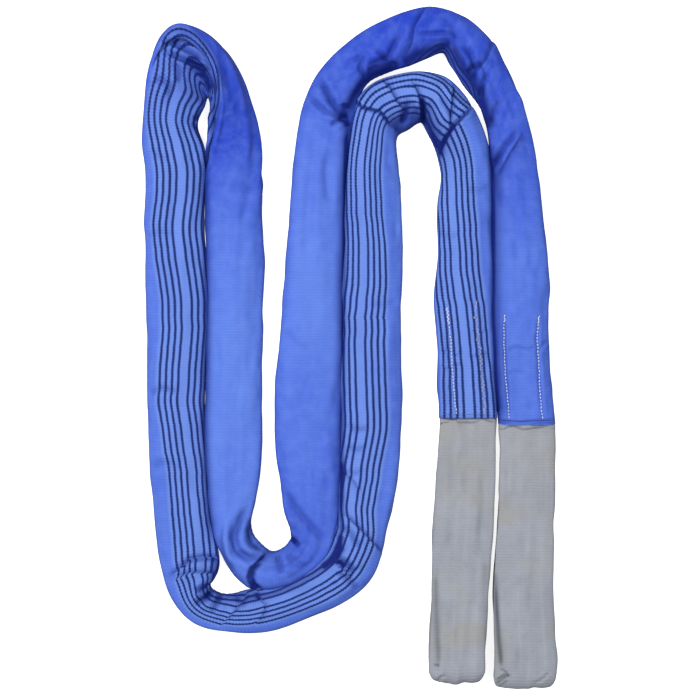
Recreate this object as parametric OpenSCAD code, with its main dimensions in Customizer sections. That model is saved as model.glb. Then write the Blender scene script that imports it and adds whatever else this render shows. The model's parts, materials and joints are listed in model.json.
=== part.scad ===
// Eye-and-eye round sling, laid out flat in a doubled serpentine.
// One endless hank of polyester yarn runs up and down the whole sling as two stacked legs.
// A blue woven tube covers both legs; each end of the hank is a soft eye in its own grey tube,
// tucked into the mouth of the blue tube and sewn there. All lengths are millimetres.
// The sling is doubled at its middle (left bight), and the doubled pair is laid down, across the
// bottom, up, over the top and down again, so the striped track and the plain track run side by side.
// Soft parts are cut at the lines where a laid sling folds, so that each part between folds can move.
// Frame: +Z up, floor at z = 0, origin on the underside of the plain centre run.

/* [Body] */
// Width of the blue cover lying flat on its yarn
body_w = 86; // [80:1:86]
// Thickness of the blue cover with both hank legs inside
body_t = 35; // [35:0.5:38]
// Wall of the blue woven cover
cover_wall = 1.5; // [1.0:0.1:1.5]

/* [Hank] */
// Diameter of one yarn bundle of the hank
strand_d = 11.2; // [9:0.1:11.2]
// Distance between yarn bundles, centre to centre
strand_pitch = 11.5; // [11.4:0.1:11.5]
// Yarn bundles side by side in one leg of the hank
strands = 6; // [4:1:6]
// Height of each leg's centre above and below the middle of the body
leg_offset = 7.4; // [7.35:0.05:7.4]

/* [Eyes] */
// Length of an eye from the hem of the blue cover to the end of the loop
eye_len = 420; // [380:1:450]
// Width of the grey eye sleeve outside the blue cover
eye_w = 84; // [78:1:86]
// Width of the grey eye sleeve where it is squeezed into the blue cover
tuck_w = 73.6; // [73:0.1:74]
// Thickness of the grey eye sleeve
eye_t = 14.6; // [14.2:0.1:14.7]
// Wall of the grey eye sleeve
eye_wall = 1.2; // [1.0:0.1:1.2]
// Inside radius of the loop at the end of the eye
saddle_r = 11; // [8:1:16]
// Length of grey sleeve tucked inside the blue cover
tuck_len = 175; // [120:5:180]
// Distance from the hem to the fold in the lower leg of the eye
eye_fold = 190; // [170:5:210]
// Distance from the hem to the pivot of the upper leg of the eye
mouth_pivot = 3; // [2:0.5:4]

/* [Layout] */
// X of the striped left run
x_s_left = -214; // [-216:1:-212]
// X of the plain left run
x_p_left = -121; // [-122:1:-120]
// X of the plain centre run
x_p_mid = 0; // [0]
// X of the striped centre run
x_s_mid = 95; // [93:1:96]
// X of the striped run that leads to eye A
x_s_end = 239; // [237:1:239]
// X of the plain run that leads to eye B
x_p_end = 331; // [329:1:332]
// Y of the fold line of the left bight
y_left_fold = 252; // [230:1:270]
// Y of the fold line of the top bight
y_top_fold = 205; // [190:1:215]
// Y of the fold line of the bottom bight
y_bottom_fold = -236; // [-250:1:-200]
// Y of the fold line above each sewn throat
y_throat_fold = 47; // [30:1:60]
// Length of sewn throat A, from its fold line to the hem
throat_a = 184; // [184:1:200]
// Length of sewn throat B, from its fold line to the hem
throat_b = 195; // [184:1:200]
// Lean of throat A away from the Y axis, towards +X
lean_a = 2.2; // [0:0.1:2.3]
// Lean of throat B away from the Y axis, towards +X
lean_b = 2.3; // [0:0.1:2.3]
// Turn of eye A against its throat, towards -X
turn_a = 4.8; // [2:0.1:5]
// Turn of eye B against its throat, towards -X
turn_b = 2.8; // [0:0.1:5]

/* [Seams] */
// Distance between the two rows of stitching in a throat
seam_gap = 50; // [40:1:52]
// Length of a row of throat stitching
seam_len = 166; // [120:4:170]
// Length of one stitch
stitch_len = 5.5; // [3:0.5:6]
// Distance from one stitch to the next
stitch_pitch = 7; // [7:0.5:10]
// Thread thickness
thread = 1.1; // [0.8:0.1:1.5]

/* [Hidden] */
$fn = 48;

blue = [0.20, 0.33, 0.83];
navy = [0.10, 0.13, 0.42];
grey = [0.60, 0.63, 0.69];
yarn = [0.90, 0.89, 0.84];
thread_white = [0.86, 0.87, 0.90];

gap = 1;                 // slit between two parts at a fold line
root_gap = 2.2;          // from the throat fold line to a throat, which leans away from its run
mouth_gap = 4;           // from the hem to the outer part of an eye
open_gap = 1.5;          // half the slit at the fold in the upper leg of an eye
hairline = 0.01;         // joint between a straight piece and an arc of one part
shortest_piece = 0.1;    // straight pieces no longer than this are left out
throat_hank_inset = 2;   // from the end of the hank in a throat to the hem
tuck_inset = 0.5;        // from the end of a tucked sleeve to the hem

mid_z = body_t / 2;              // middle plane of the body
low_z = mid_z - leg_offset;      // centre of the lower hank leg
up_z = mid_z + leg_offset;       // centre of the upper hank leg

// Eye in side view: the upper leg is tangent to the loop end and meets the upper fold.
ring_r = saddle_r + eye_t / 2;                 // centreline radius of the loop end
ring_e = eye_len - saddle_r - eye_t;           // distance of the loop centre from the hem
ring_z = low_z + ring_r;                       // height of the loop centre
far_e = mouth_pivot + ring_e - eye_fold;       // distance of the upper fold from the hem
fold_to_ring = [ring_e - far_e, ring_z - up_z];
slope = asin(ring_r / norm(fold_to_ring)) + atan2(fold_to_ring[1], fold_to_ring[0]);
slope_len = sqrt(fold_to_ring * fold_to_ring - ring_r * ring_r);  // upper fold to loop end

// Waypoints [x, y, corner radius] of each bent stretch, in the order the track runs.
left_r = (x_p_left - x_s_left) / 2 - hairline;
left_way = [[x_s_left, y_left_fold, 0], [x_s_left, 427, left_r],
            [x_p_left, 427, left_r], [x_p_left, y_left_fold, 0]];
bottom_s_way = [[x_s_left, y_bottom_fold, 0], [x_s_left, -432, 62], [-79, -462, 90],
                [x_s_mid, -410, 62], [x_s_mid, y_bottom_fold, 0]];
bottom_p_r = (x_p_mid - x_p_left) / 2 - hairline;
bottom_p_way = [[x_p_left, y_bottom_fold, 0], [x_p_left, -361, bottom_p_r],
                [x_p_mid, -361, bottom_p_r], [x_p_mid, y_bottom_fold, 0]];
top_p_way = [[x_p_mid, y_top_fold, 0], [x_p_mid, 395, 100], [202, 465, 52], [314, 358, 100],
             [x_p_end, 225, 140], [x_p_end, y_top_fold, 0]];
top_s_way = [[x_s_mid, y_top_fold, 0], [x_s_mid, 345, 48], [215, 352, 60], [x_s_end, 228, 120],
             [x_s_end, y_top_fold, 0]];

// ---- path helpers: a waypoint list becomes straight pieces and true arcs ----
function xy(p) = [p[0], p[1]];
function heading(from, to) = atan2(to[1] - from[1], to[0] - from[0]);
function wrap(angle) = angle > 180 ? wrap(angle - 360) : angle <= -180 ? wrap(angle + 360) : angle;
// Point at a distance from start in the direction of an angle.
function step(start, angle, distance) =
    [start[0] + distance * cos(angle), start[1] + distance * sin(angle)];
// Signed change of heading at waypoint i, positive to the left.
function turn_at(way, i) = wrap(heading(way[i], way[i + 1]) - heading(way[i - 1], way[i]));
// Length that the arc at waypoint i takes off each adjoining straight piece.
function cut_at(way, i) =
    i == 0 || i == len(way) - 1 ? 0 : way[i][2] * tan(abs(turn_at(way, i)) / 2);

// Sweeps a profile (x across the run, y up) straight along a heading.
module straight(start, angle, length)
    translate([start[0], start[1], 0]) rotate([90, 0, angle + 90]) linear_extrude(length) children();

// Sweeps a profile round the corner at waypoint i.
module arc(way, i) {
    sweep = turn_at(way, i);
    angle_in = heading(way[i - 1], way[i]);
    radius = way[i][2];
    start = step(way[i], heading(way[i], way[i - 1]), cut_at(way, i));
    centre = step(start, angle_in + (sweep > 0 ? 90 : -90), radius);
    first_angle = sweep > 0 ? angle_in - 90 : angle_in + 90 + sweep;
    translate([centre[0], centre[1], 0]) rotate([0, 0, first_angle])
        rotate_extrude(angle = abs(sweep)) translate([radius, 0]) children();
}

// Sweeps a profile along a waypoint list, with half a slit at both ends
// and hairline joints where a straight piece meets an arc.
module along(way)
    for (i = [0 : len(way) - 2]) {
        angle = heading(way[i], way[i + 1]);
        start_gap = i == 0 ? gap / 2 : hairline;
        end_gap = i == len(way) - 2 ? gap / 2 : hairline;
        start_cut = cut_at(way, i) + start_gap;
        length = norm(xy(way[i + 1]) - xy(way[i])) - start_cut - cut_at(way, i + 1) - end_gap;
        if (length > shortest_piece)
            straight(step(way[i], angle, start_cut), angle, length) children();
        if (i > 0) arc(way, i) children();
    }

// ---- profiles ----
module stadium(width, height) {
    square([width - height, height], center = true);
    for (side = [-1, 1]) translate([side * (width - height) / 2, 0]) circle(d = height);
}

module tube_profile(width, height, wall, z) translate([0, z]) difference() {
    stadium(width, height);
    stadium(width - 2 * wall, height - 2 * wall);
}

module cover_profile() tube_profile(body_w, body_t, cover_wall, mid_z);
module sleeve_profile(width = eye_w, z = 0) tube_profile(width, eye_t, eye_wall, z);

module leg_profile(z = 0)
    for (i = [0 : strands - 1])
        translate([(i - (strands - 1) / 2) * strand_pitch, z]) circle(d = strand_d);

module hank_profile() {
    leg_profile(low_z);
    leg_profile(up_z);
}

// ---- runs and bights ----
module run(x, y0, y1) straight([x, y0 + gap / 2], 90, y1 - y0 - gap) children();
module cover_run(x, y0, y1) color(blue) run(x, y0, y1) cover_profile();
module hank_run(x, y0, y1) color(yarn) run(x, y0, y1) hank_profile();
module cover_bight(way) color(blue) along(way) cover_profile();
module hank_bight(way) color(yarn) along(way) hank_profile();

// ---- ties that hold the turns of the hank together ----
tie_len = 22;
tie_inner = 0.3;         // inside face of a tie, out from the hank
tie_outer = 1.1;         // outside face of a tie, out from the hank
// Start [x, y] of each tie: one on each of three runs and two on the striped centre run
tie_places = [[x_s_left, 0], [x_p_left, 0], [x_p_mid, 20], [x_s_mid, 20], [x_s_mid, 52]];

// Rounded outline of the hank, grown outwards.
module tie_outline(grow) {
    width = (strands - 1) * strand_pitch + strand_d + 2 * grow;
    height = 2 * leg_offset + strand_d + 2 * grow;
    radius = strand_d / 2 + grow;
    square([width - 2 * radius, height], center = true);
    square([width, height - 2 * radius], center = true);
    for (x = [-1, 1], y = [-1, 1])
        translate([x * (width / 2 - radius), y * (height / 2 - radius)]) circle(radius);
}

module hank_ties()
    for (place = tie_places)
        color(thread_white) straight(place, 90, tie_len) translate([0, mid_z]) difference() {
            tie_outline(tie_outer);
            tie_outline(tie_inner);
        }

// ---- sewn ends: local +Y runs from the fold line towards the tip of the eye ----
// $throat is the length of the throat, $turn the turn of the eye about its hem.
module at_end(x, lean) translate([x, y_throat_fold, 0]) rotate([0, 0, 180 + lean]) children();
module end_a() let ($throat = throat_a, $turn = -turn_a) at_end(x_s_end, lean_a) children();
module end_b() let ($throat = throat_b, $turn = -turn_b) at_end(x_p_end, lean_b) children();

// Straight stretch of a throat, measured from the fold line.
module lane(y0, y1) straight([0, y0], 90, y1 - y0) children();
// Places a part at distance e from the hem, in the turned frame of the eye.
module at_eye(e, z) translate([0, $throat, 0]) rotate([0, 0, $turn]) translate([0, e, z]) children();
// Straight stretch of an eye, its profile centred on height z.
module eye_leg(e0, e1, z) at_eye(e0, z) straight([0, 0], 90, e1 - e0) children();

module eye_base() eye_leg(mouth_gap, eye_fold - gap / 2, low_z) children();
module eye_lower() eye_leg(eye_fold + gap / 2, ring_e - gap / 2, low_z) children();
module eye_upper() eye_leg(mouth_gap, far_e - open_gap, up_z) children();
// Loop end, an arc from its underside over the tip, and the sloping upper leg that leaves it.
module eye_tip() {
    at_eye(ring_e, ring_z) rotate([0, 90, 0]) rotate_extrude(angle = 180 + slope)
        translate([ring_r, 0]) rotate([0, 0, 90]) children();
    at_eye(far_e, up_z) rotate([slope, 0, 0])
        straight([0, open_gap], 90, slope_len - open_gap - hairline) children();
}

module throat_cover() color(blue) lane(root_gap, $throat) cover_profile();
// Both legs in the throat, and the lower leg on to the fold of the eye.
module throat_hank() color(yarn) {
    for (z = [up_z, low_z]) lane(root_gap, $throat - throat_hank_inset) leg_profile(z);
    eye_base() leg_profile();
}

module tucked_sleeve(z) lane($throat - tuck_len, $throat - tuck_inset) sleeve_profile(tuck_w, z);
// Lower leg of the eye sleeve: narrow inside the blue cover, full width outside it.
module sleeve_base() color(grey) {
    tucked_sleeve(low_z);
    eye_base() sleeve_profile();
}
module sleeve_tuck() color(grey) tucked_sleeve(up_z);
module sleeve_lower() color(grey) eye_lower() sleeve_profile();
module sleeve_tip() color(grey) eye_tip() sleeve_profile();
module sleeve_upper() color(grey) eye_upper() sleeve_profile();
module hank_lower() color(yarn) eye_lower() leg_profile();
module hank_tip() color(yarn) eye_tip() leg_profile();
module hank_upper() color(yarn) eye_upper() leg_profile();

// ---- stitches lying just above the cover's upper face ----
seam_inset = 6;          // from the hem to the nearest throat stitch
hem_inset = 4;           // from the hem to the start of the hem stitches' width
hem_stitches = 6;
stitch_lift = 0.05;      // clearance over the cover
thread_flatness = 0.8;   // height of a stitch over its width

module stitch(x, y, size_x, size_y)
    translate([x, y, body_t + stitch_lift]) cube([size_x, size_y, thread * thread_flatness]);

// Row of stitches along a throat; side 1 is local +X, the left side of the sling (-X).
module throat_seam(side) color(thread_white)
    for (i = [0 : floor(seam_len / stitch_pitch) - 1])
        stitch(side * seam_gap / 2 - thread / 2,
               $throat - seam_inset - stitch_len - i * stitch_pitch, thread, stitch_len);

// Row of stitches across the throat, near the hem.
module hem_seam() color(navy)
    for (i = [0 : hem_stitches - 1])
        stitch((i - hem_stitches / 2) * stitch_pitch, $throat - hem_inset, stitch_len, thread);

cover_run(x_s_left, y_bottom_fold, y_left_fold);  // cover_run_left_striped
cover_run(x_p_left, y_bottom_fold, y_left_fold);  // cover_run_left_plain
cover_run(x_p_mid, y_bottom_fold, y_top_fold);  // cover_run_centre_plain
cover_run(x_s_mid, y_bottom_fold, y_top_fold);  // cover_run_centre_striped
cover_run(x_s_end, y_throat_fold, y_top_fold);  // cover_run_end_a
cover_run(x_p_end, y_throat_fold, y_top_fold);  // cover_run_end_b
cover_bight(left_way);  // cover_left_bight
cover_bight(bottom_s_way);  // cover_bottom_bight_striped
cover_bight(bottom_p_way);  // cover_bottom_bight_plain
cover_bight(top_s_way);  // cover_top_bight_striped
cover_bight(top_p_way);  // cover_top_bight_plain
end_a() throat_cover();  // cover_throat_a
end_b() throat_cover();  // cover_throat_b
hank_run(x_s_left, y_bottom_fold, y_left_fold);  // hank_run_left_striped
hank_run(x_p_left, y_bottom_fold, y_left_fold);  // hank_run_left_plain
hank_run(x_p_mid, y_bottom_fold, y_top_fold);  // hank_run_centre_plain
hank_run(x_s_mid, y_bottom_fold, y_top_fold);  // hank_run_centre_striped
hank_run(x_s_end, y_throat_fold, y_top_fold);  // hank_run_end_a
hank_run(x_p_end, y_throat_fold, y_top_fold);  // hank_run_end_b
hank_bight(left_way);  // hank_left_bight
hank_bight(bottom_s_way);  // hank_bottom_bight_striped
hank_bight(bottom_p_way);  // hank_bottom_bight_plain
hank_bight(top_s_way);  // hank_top_bight_striped
hank_bight(top_p_way);  // hank_top_bight_plain
end_a() throat_hank();  // hank_throat_a
end_b() throat_hank();  // hank_throat_b
hank_ties();
end_a() sleeve_base();  // eye_a_sleeve_base
end_a() sleeve_tuck();  // eye_a_sleeve_tuck
end_a() sleeve_lower();  // eye_a_sleeve_lower
end_a() sleeve_tip();  // eye_a_sleeve_tip
end_a() sleeve_upper();  // eye_a_sleeve_upper
end_a() hank_lower();  // eye_a_hank_lower
end_a() hank_tip();  // eye_a_hank_tip
end_a() hank_upper();  // eye_a_hank_upper
end_b() sleeve_base();  // eye_b_sleeve_base
end_b() sleeve_tuck();  // eye_b_sleeve_tuck
end_b() sleeve_lower();  // eye_b_sleeve_lower
end_b() sleeve_tip();  // eye_b_sleeve_tip
end_b() sleeve_upper();  // eye_b_sleeve_upper
end_b() hank_lower();  // eye_b_hank_lower
end_b() hank_tip();  // eye_b_hank_tip
end_b() hank_upper();  // eye_b_hank_upper
end_a() throat_seam(1);  // throat_seam_a_left
end_a() throat_seam(-1);  // throat_seam_a_right
end_b() throat_seam(1);  // throat_seam_b_left
end_b() throat_seam(-1);  // throat_seam_b_right
end_a() hem_seam();  // hem_seam_a
end_b() hem_seam();  // hem_seam_b
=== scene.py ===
"""An eye-and-eye round sling laid flat on a white floor.

The floor is z = 0 and the camera looks straight down with +y at the top of the view. One long
blue cover, striped on one face, runs from the hem of eye A to the hem of eye B in upright runs
joined by bends at the top, bottom and left. The two grey eyes point to -y at the right.
Lengths are in metres unless a name or a table comment says mm.
"""

import json
import math

import bmesh
import bpy
import numpy as np
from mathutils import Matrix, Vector
from mathutils.bvhtree import BVHTree


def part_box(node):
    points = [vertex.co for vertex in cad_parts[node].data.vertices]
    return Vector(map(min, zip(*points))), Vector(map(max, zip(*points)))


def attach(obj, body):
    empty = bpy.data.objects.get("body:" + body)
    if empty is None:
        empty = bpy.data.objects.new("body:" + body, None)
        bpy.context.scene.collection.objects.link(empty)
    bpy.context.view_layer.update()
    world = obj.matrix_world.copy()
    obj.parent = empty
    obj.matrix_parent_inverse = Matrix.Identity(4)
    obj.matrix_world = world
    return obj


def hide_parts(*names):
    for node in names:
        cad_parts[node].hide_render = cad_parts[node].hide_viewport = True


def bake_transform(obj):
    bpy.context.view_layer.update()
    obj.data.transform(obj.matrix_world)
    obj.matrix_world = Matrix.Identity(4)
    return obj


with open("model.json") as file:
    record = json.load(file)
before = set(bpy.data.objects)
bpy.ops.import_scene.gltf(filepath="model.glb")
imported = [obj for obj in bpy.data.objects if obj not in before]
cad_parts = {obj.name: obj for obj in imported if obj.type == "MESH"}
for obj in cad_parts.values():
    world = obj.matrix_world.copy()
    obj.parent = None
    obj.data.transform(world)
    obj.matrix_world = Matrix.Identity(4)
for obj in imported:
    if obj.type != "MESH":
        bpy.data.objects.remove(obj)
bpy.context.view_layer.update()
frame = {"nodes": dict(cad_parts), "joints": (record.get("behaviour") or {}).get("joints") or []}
node_names = set(frame["nodes"])
PI = math.pi

# ---------------------------------------------------------------- sizes
AROUND = 72                # points round the cover
STEP = 0.004               # distance between rings of the cover
CLOTH_AROUND = 0.210       # cloth length round the cover
EXTRA_WIDTH = 0.0026       # added to the width between the tabulated edges
HEM_ZONE = 0.07            # length over which the section squares up towards a hem
SETTLE_ROUNDS = 260
SPARE_SHARE = 0.55         # share of the spare inner cloth that stays in a bend
SLACK = 1.012              # every thread is this much longer than the smooth tube
RIB_PITCH = 0.0046         # weft ribs of the blue cloth
SLEEVE_T = 0.0146          # thickness of a grey sleeve
SLEEVE_CLOTH = 0.19        # cloth length round a sleeve
SLEEVE_AROUND = 48
SLEEVE_STEP = 0.003
TUCK = 0.022               # length of sleeve inside the blue mouth

# ---------------------------------------------------------------- the laid shape
# Stations of the cover from hem A to hem B: left edge x, y, right edge x, y in mm (left and
# right of the way the run travels), roll about the run in degrees, thickness in mm.
STATIONS = np.array([
    (201, -137, 291, -137, 0, 37), (199, -82, 290, -82, 0, 37), (199, -17, 286, -17, 0, 36),
    (193, 39, 283, 39, 0, 35), (196, 87, 284, 87, 0, 33), (199, 126, 284, 126, 0, 34),
    (197, 170, 282, 170, 0, 35), (201, 210, 283, 205, 0, 35), (205, 244, 284, 249, 0, 36),
    (199, 271, 281, 287, 0, 38), (193, 290, 267, 325, 0, 40), (184, 309, 241, 369, 0, 41),
    (173, 334, 213, 401, 0, 40), (161, 322, 170, 411, 0, 40), (150, 315, 125, 403, 0, 40),
    (137, 312, 91, 389, 0, 40), (130, 307, 71, 367, 0, 38), (133, 284, 61, 328, 0, 36),
    (137, 249, 54, 268, 0, 34), (140, 205, 52, 210, 0, 34), (142, 142, 50, 142, 0, 34),
    (141, 79, 50, 79, 0, 34), (140, 16, 49, 16, 0, 34), (140, -47, 48, -47, 0, 34),
    (140, -110, 47, -110, 0, 34), (139, -158, 47, -158, 0, 34), (136, -205, 46, -202, 0, 34),
    (129, -255, 44, -243, 0, 34), (123, -290, 43, -279, 0, 34), (117, -325, 39, -311, 0, 34),
    (113, -352, 32, -333, 0, 35), (105, -380, 21, -355, 0, 35), (88, -404, 6, -367, 0, 35),
    (63, -424, -13, -378, 0, 34), (32, -440, -35, -390, 0, 33), (-2, -453, -57, -401, 0, 32),
    (-33, -465, -77, -407, 0, 31), (-63, -475, -96, -410, 0, 31),
    (-95, -479, -114, -415, 0, 32), (-126, -476, -131, -418, 0, 33),
    (-156, -473, -148, -416, 0, 34), (-185, -465, -162, -408, 0, 36),
    (-208, -446, -164, -399, 0, 38), (-224, -419, -152, -391, 0, 38),
    (-234, -390, -146, -374, 0, 36), (-240, -358, -150, -349, 0, 35),
    (-244, -326, -156, -319, 0, 34), (-247, -292, -162, -287, 0, 34),
    (-250, -255, -166, -255, 0, 34), (-255, -213, -168, -213, 0, 34),
    (-259, -166, -170, -166, 0, 34), (-261, -110, -169, -110, 0, 34),
    (-260, -55, -168, -55, 0, 34), (-259, 0, -166, 0, 0, 34), (-259, 55, -166, 55, 0, 34),
    (-263, 107, -166, 107, 0, 34), (-265, 161, -170, 161, 0, 34),
    (-263, 205, -170, 205, 0, 35), (-263, 244, -167, 248, 0, 36),
    (-266, 287, -169, 287, 0, 38), (-266, 328, -185, 327, 0, 40),
    (-263, 369, -173, 349, 4, 42), (-256, 416, -169, 361, 10, 44),
    (-243, 459, -166, 365, 22, 46), (-226, 482, -166, 367, 36, 48),
    (-205, 487, -165, 368, 48, 50), (-183, 479, -163, 367, 60, 52),
    (-162, 470, -162, 366, 72, 53), (-142, 454, -160, 363, 84, 54),
    (-125, 431, -159, 358, 96, 54), (-110, 399, -159, 352, 107, 52),
    (-98, 366, -161, 342, 118, 50), (-86, 331, -163, 325, 129, 48),
    (-80, 296, -164, 296, 140, 45), (-80, 259, -164, 268, 155, 41),
    (-80, 218, -167, 221, 170, 37), (-79, 170, -168, 172, 178, 35),
    (-77, 118, -166, 118, 180, 34), (-76, 63, -165, 63, 180, 34), (-77, 0, -165, 0, 180, 34),
    (-80, -63, -166, -63, 180, 34), (-79, -126, -169, -126, 180, 34),
    (-78, -173, -170, -173, 180, 34), (-80, -221, -168, -222, 180, 34),
    (-85, -252, -165, -263, 180, 34), (-92, -281, -159, -303, 180, 35),
    (-98, -304, -151, -339, 180, 36), (-95, -323, -136, -371, 180, 37),
    (-84, -337, -115, -394, 180, 38), (-71, -348, -90, -410, 180, 39),
    (-63, -352, -66, -415, 180, 40), (-54, -347, -41, -407, 180, 39),
    (-39, -339, -14, -393, 180, 38), (-31, -328, 13, -372, 180, 37),
    (-32, -312, 32, -344, 180, 36), (-39, -295, 39, -311, 180, 35),
    (-45, -274, 43, -281, 180, 34), (-50, -243, 46, -243, 180, 34),
    (-55, -205, 47, -205, 180, 33), (-58, -158, 48, -158, 180, 32),
    (-57, -95, 49, -95, 180, 32), (-53, -32, 50, -32, 180, 33), (-48, 32, 50, 32, 180, 34),
    (-43, 95, 51, 95, 180, 34), (-37, 155, 52, 155, 180, 34), (-33, 210, 53, 210, 180, 34),
    (-30, 260, 54, 257, 180, 35), (-24, 304, 58, 296, 180, 35), (-17, 341, 62, 330, 180, 36),
    (-6, 371, 68, 358, 180, 36), (9, 402, 76, 380, 180, 36), (33, 433, 89, 396, 180, 36),
    (62, 459, 106, 403, 180, 36), (91, 479, 125, 411, 180, 37), (125, 494, 145, 416, 180, 37),
    (156, 505, 164, 423, 180, 38), (186, 512, 185, 431, 180, 38),
    (213, 507, 211, 445, 180, 38), (240, 495, 213, 426, 180, 38),
    (263, 479, 229, 405, 180, 38), (284, 456, 241, 386, 180, 38),
    (300, 426, 252, 372, 180, 38), (315, 393, 263, 358, 180, 38),
    (331, 360, 271, 337, 180, 37), (344, 323, 278, 314, 180, 37),
    (352, 285, 281, 287, 180, 36), (357, 244, 284, 248, 180, 35),
    (362, 202, 283, 203, 180, 34), (367, 158, 283, 158, 180, 34),
    (372, 120, 284, 120, 180, 34), (374, 71, 283, 71, 180, 33), (373, 32, 284, 32, 180, 32),
    (371, -16, 284, -16, 180, 36), (375, -66, 286, -66, 180, 37),
    (380, -110, 291, -110, 180, 37), (382, -147, 295, -147, 180, 37),
], float)

# How far the cloth has slid round the yarn at each station, mm.
STRIPE_SHIFT_MM = np.array([
    -1.6, -0.9, 2.1, 4, 13.7, 16.8, 18.2, 24, 26.8, 26.3, 25, 22, 8, -6, -12, -14, -15, -15,
    -17.4, -15.4, -9.5, -11.9, -17.7, -17.4, -14.7, -12.4, -19.8, -20.9, -23.3, -14.2, -15.2,
    -15.1, -15, -14.8, -14.7, -14.6, -14.5, -14.4, -14.2, -14.1, -14, -14, -14, -15.2, -16.7,
    -18.3, -20.8, -21.9, -22.6, -22.1, -17.9, -11.2, -13.5, -16.4, -14.7, -9.1, -5.8, -10.2,
    -11.6, -7.8, -2.8, 0, -2, 14, 25, 29, 27.5, 26, 22, 18, 15, 12, 9, 6, 4.5, 3, 1.5,
] + [0] * 36 + [4, 12, 24, 37, 42, 44, 33, 38, 34, 20, 8] + [0] * 12)

# Painted sheen and shade of the cloth at each station, 0 deep blue (painted shade) to 1 pale
# (painted sheen).
PAINTED_SHEEN = [1.0] * 6 + [0.99] * 12 + [0.98] * 12 + [0.97] * 12 + [0.96] * 12 + [0.95] * 6 + [
    0.83, 0.72, 0.6, 0.5, 0.4, 0.3, 0.28, 0.26, 0.24, 0.22, 0.21, 0.19, 0.17, 0.15, 0.3, 0.45,
    0.6, 0.72, 0.83, 0.95, 0.93, 0.92, 0.9, 0.88, 0.87, 0.85, 0.83, 0.82, 0.8, 0.72, 0.65,
    0.57, 0.5, 0.42, 0.45, 0.49, 0.52, 0.55, 0.59, 0.62, 0.72, 0.82, 0.92, 0.88, 0.83, 0.79,
    0.75, 0.64, 0.53, 0.42, 0.35, 0.27, 0.2, 0.18, 0.15, 0.12, 0.1, 0.13, 0.15, 0.18, 0.21,
    0.23, 0.26, 0.3, 0.33, 0.36, 0.4, 0.51, 0.61, 0.72, 0.72, 0.71, 0.71, 0.71, 0.7, 0.7,
]

# Cloth pieces along the run: name, last station, body, frame pieces covered.
PIECES = [
    ("throat_a", 5, "end_a", ["throat_a"]),
    ("top_arch_striped", 22, "top_bight",
     ["top_bight_striped", "run_end_a", "run_centre_striped"]),
    ("bottom_striped", 53, "bottom_bight", ["bottom_bight_striped", "run_left_striped"]),
    ("left_bight", 79, "left_bight", ["left_bight"]),
    ("bottom_plain", 102, "bottom_bight",
     ["bottom_bight_plain", "run_left_plain", "run_centre_plain"]),
    ("top_arch_plain", 129, "top_bight", ["top_bight_plain", "run_end_b"]),
    ("throat_b", len(STATIONS) - 1, "end_b", ["throat_b"]),
]
# Start and end of a blend from "laid_runs" for each body; the loop below reads them and blends
# nothing.
BODY_BLENDS = {
    "end_a": ((0.239, 0.052, 0), (0.239, -0.008, 0)),
    "top_bight": ((0, 0.200, 0), (0, 0.262, 0)),
    "bottom_bight": ((0, -0.231, 0), (0, -0.293, 0)),
    "left_bight": ((0, 0.247, 0), (0, 0.309, 0)),
    "end_b": ((0.331, 0.052, 0), (0.331, -0.008, 0)),
}

# ---------------------------------------------------------------- creases of the cover
# Lines shared by two neighbouring runs, x, y pairs in mm.
LEFT_GAP = [-168, 283.9, -169.5, 205, -168, 107.2, -166.4, 0, -170.3, -141.9, -167.2, -220.8,
            -164, -276, -156.1, -343.8]
CENTRE_GAP = [59.9, 334.3, 54.4, 299.6, 52, 205, 50.5, 47.3, 48.9, -110.4, 47.3, -220.8,
              44.2, -299.6]
RIGHT_GAP = [277.6, 302.8, 282.3, 252.3, 283.9, 173.5, 285.4, 110.4, 285.4, 15.8,
             288.6, -63.1, 293.3, -148.2]
LOWER_LEFT_CREASE = [-154.5, -408.4, -168.7, -421.1, -182.9, -432.1]

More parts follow.
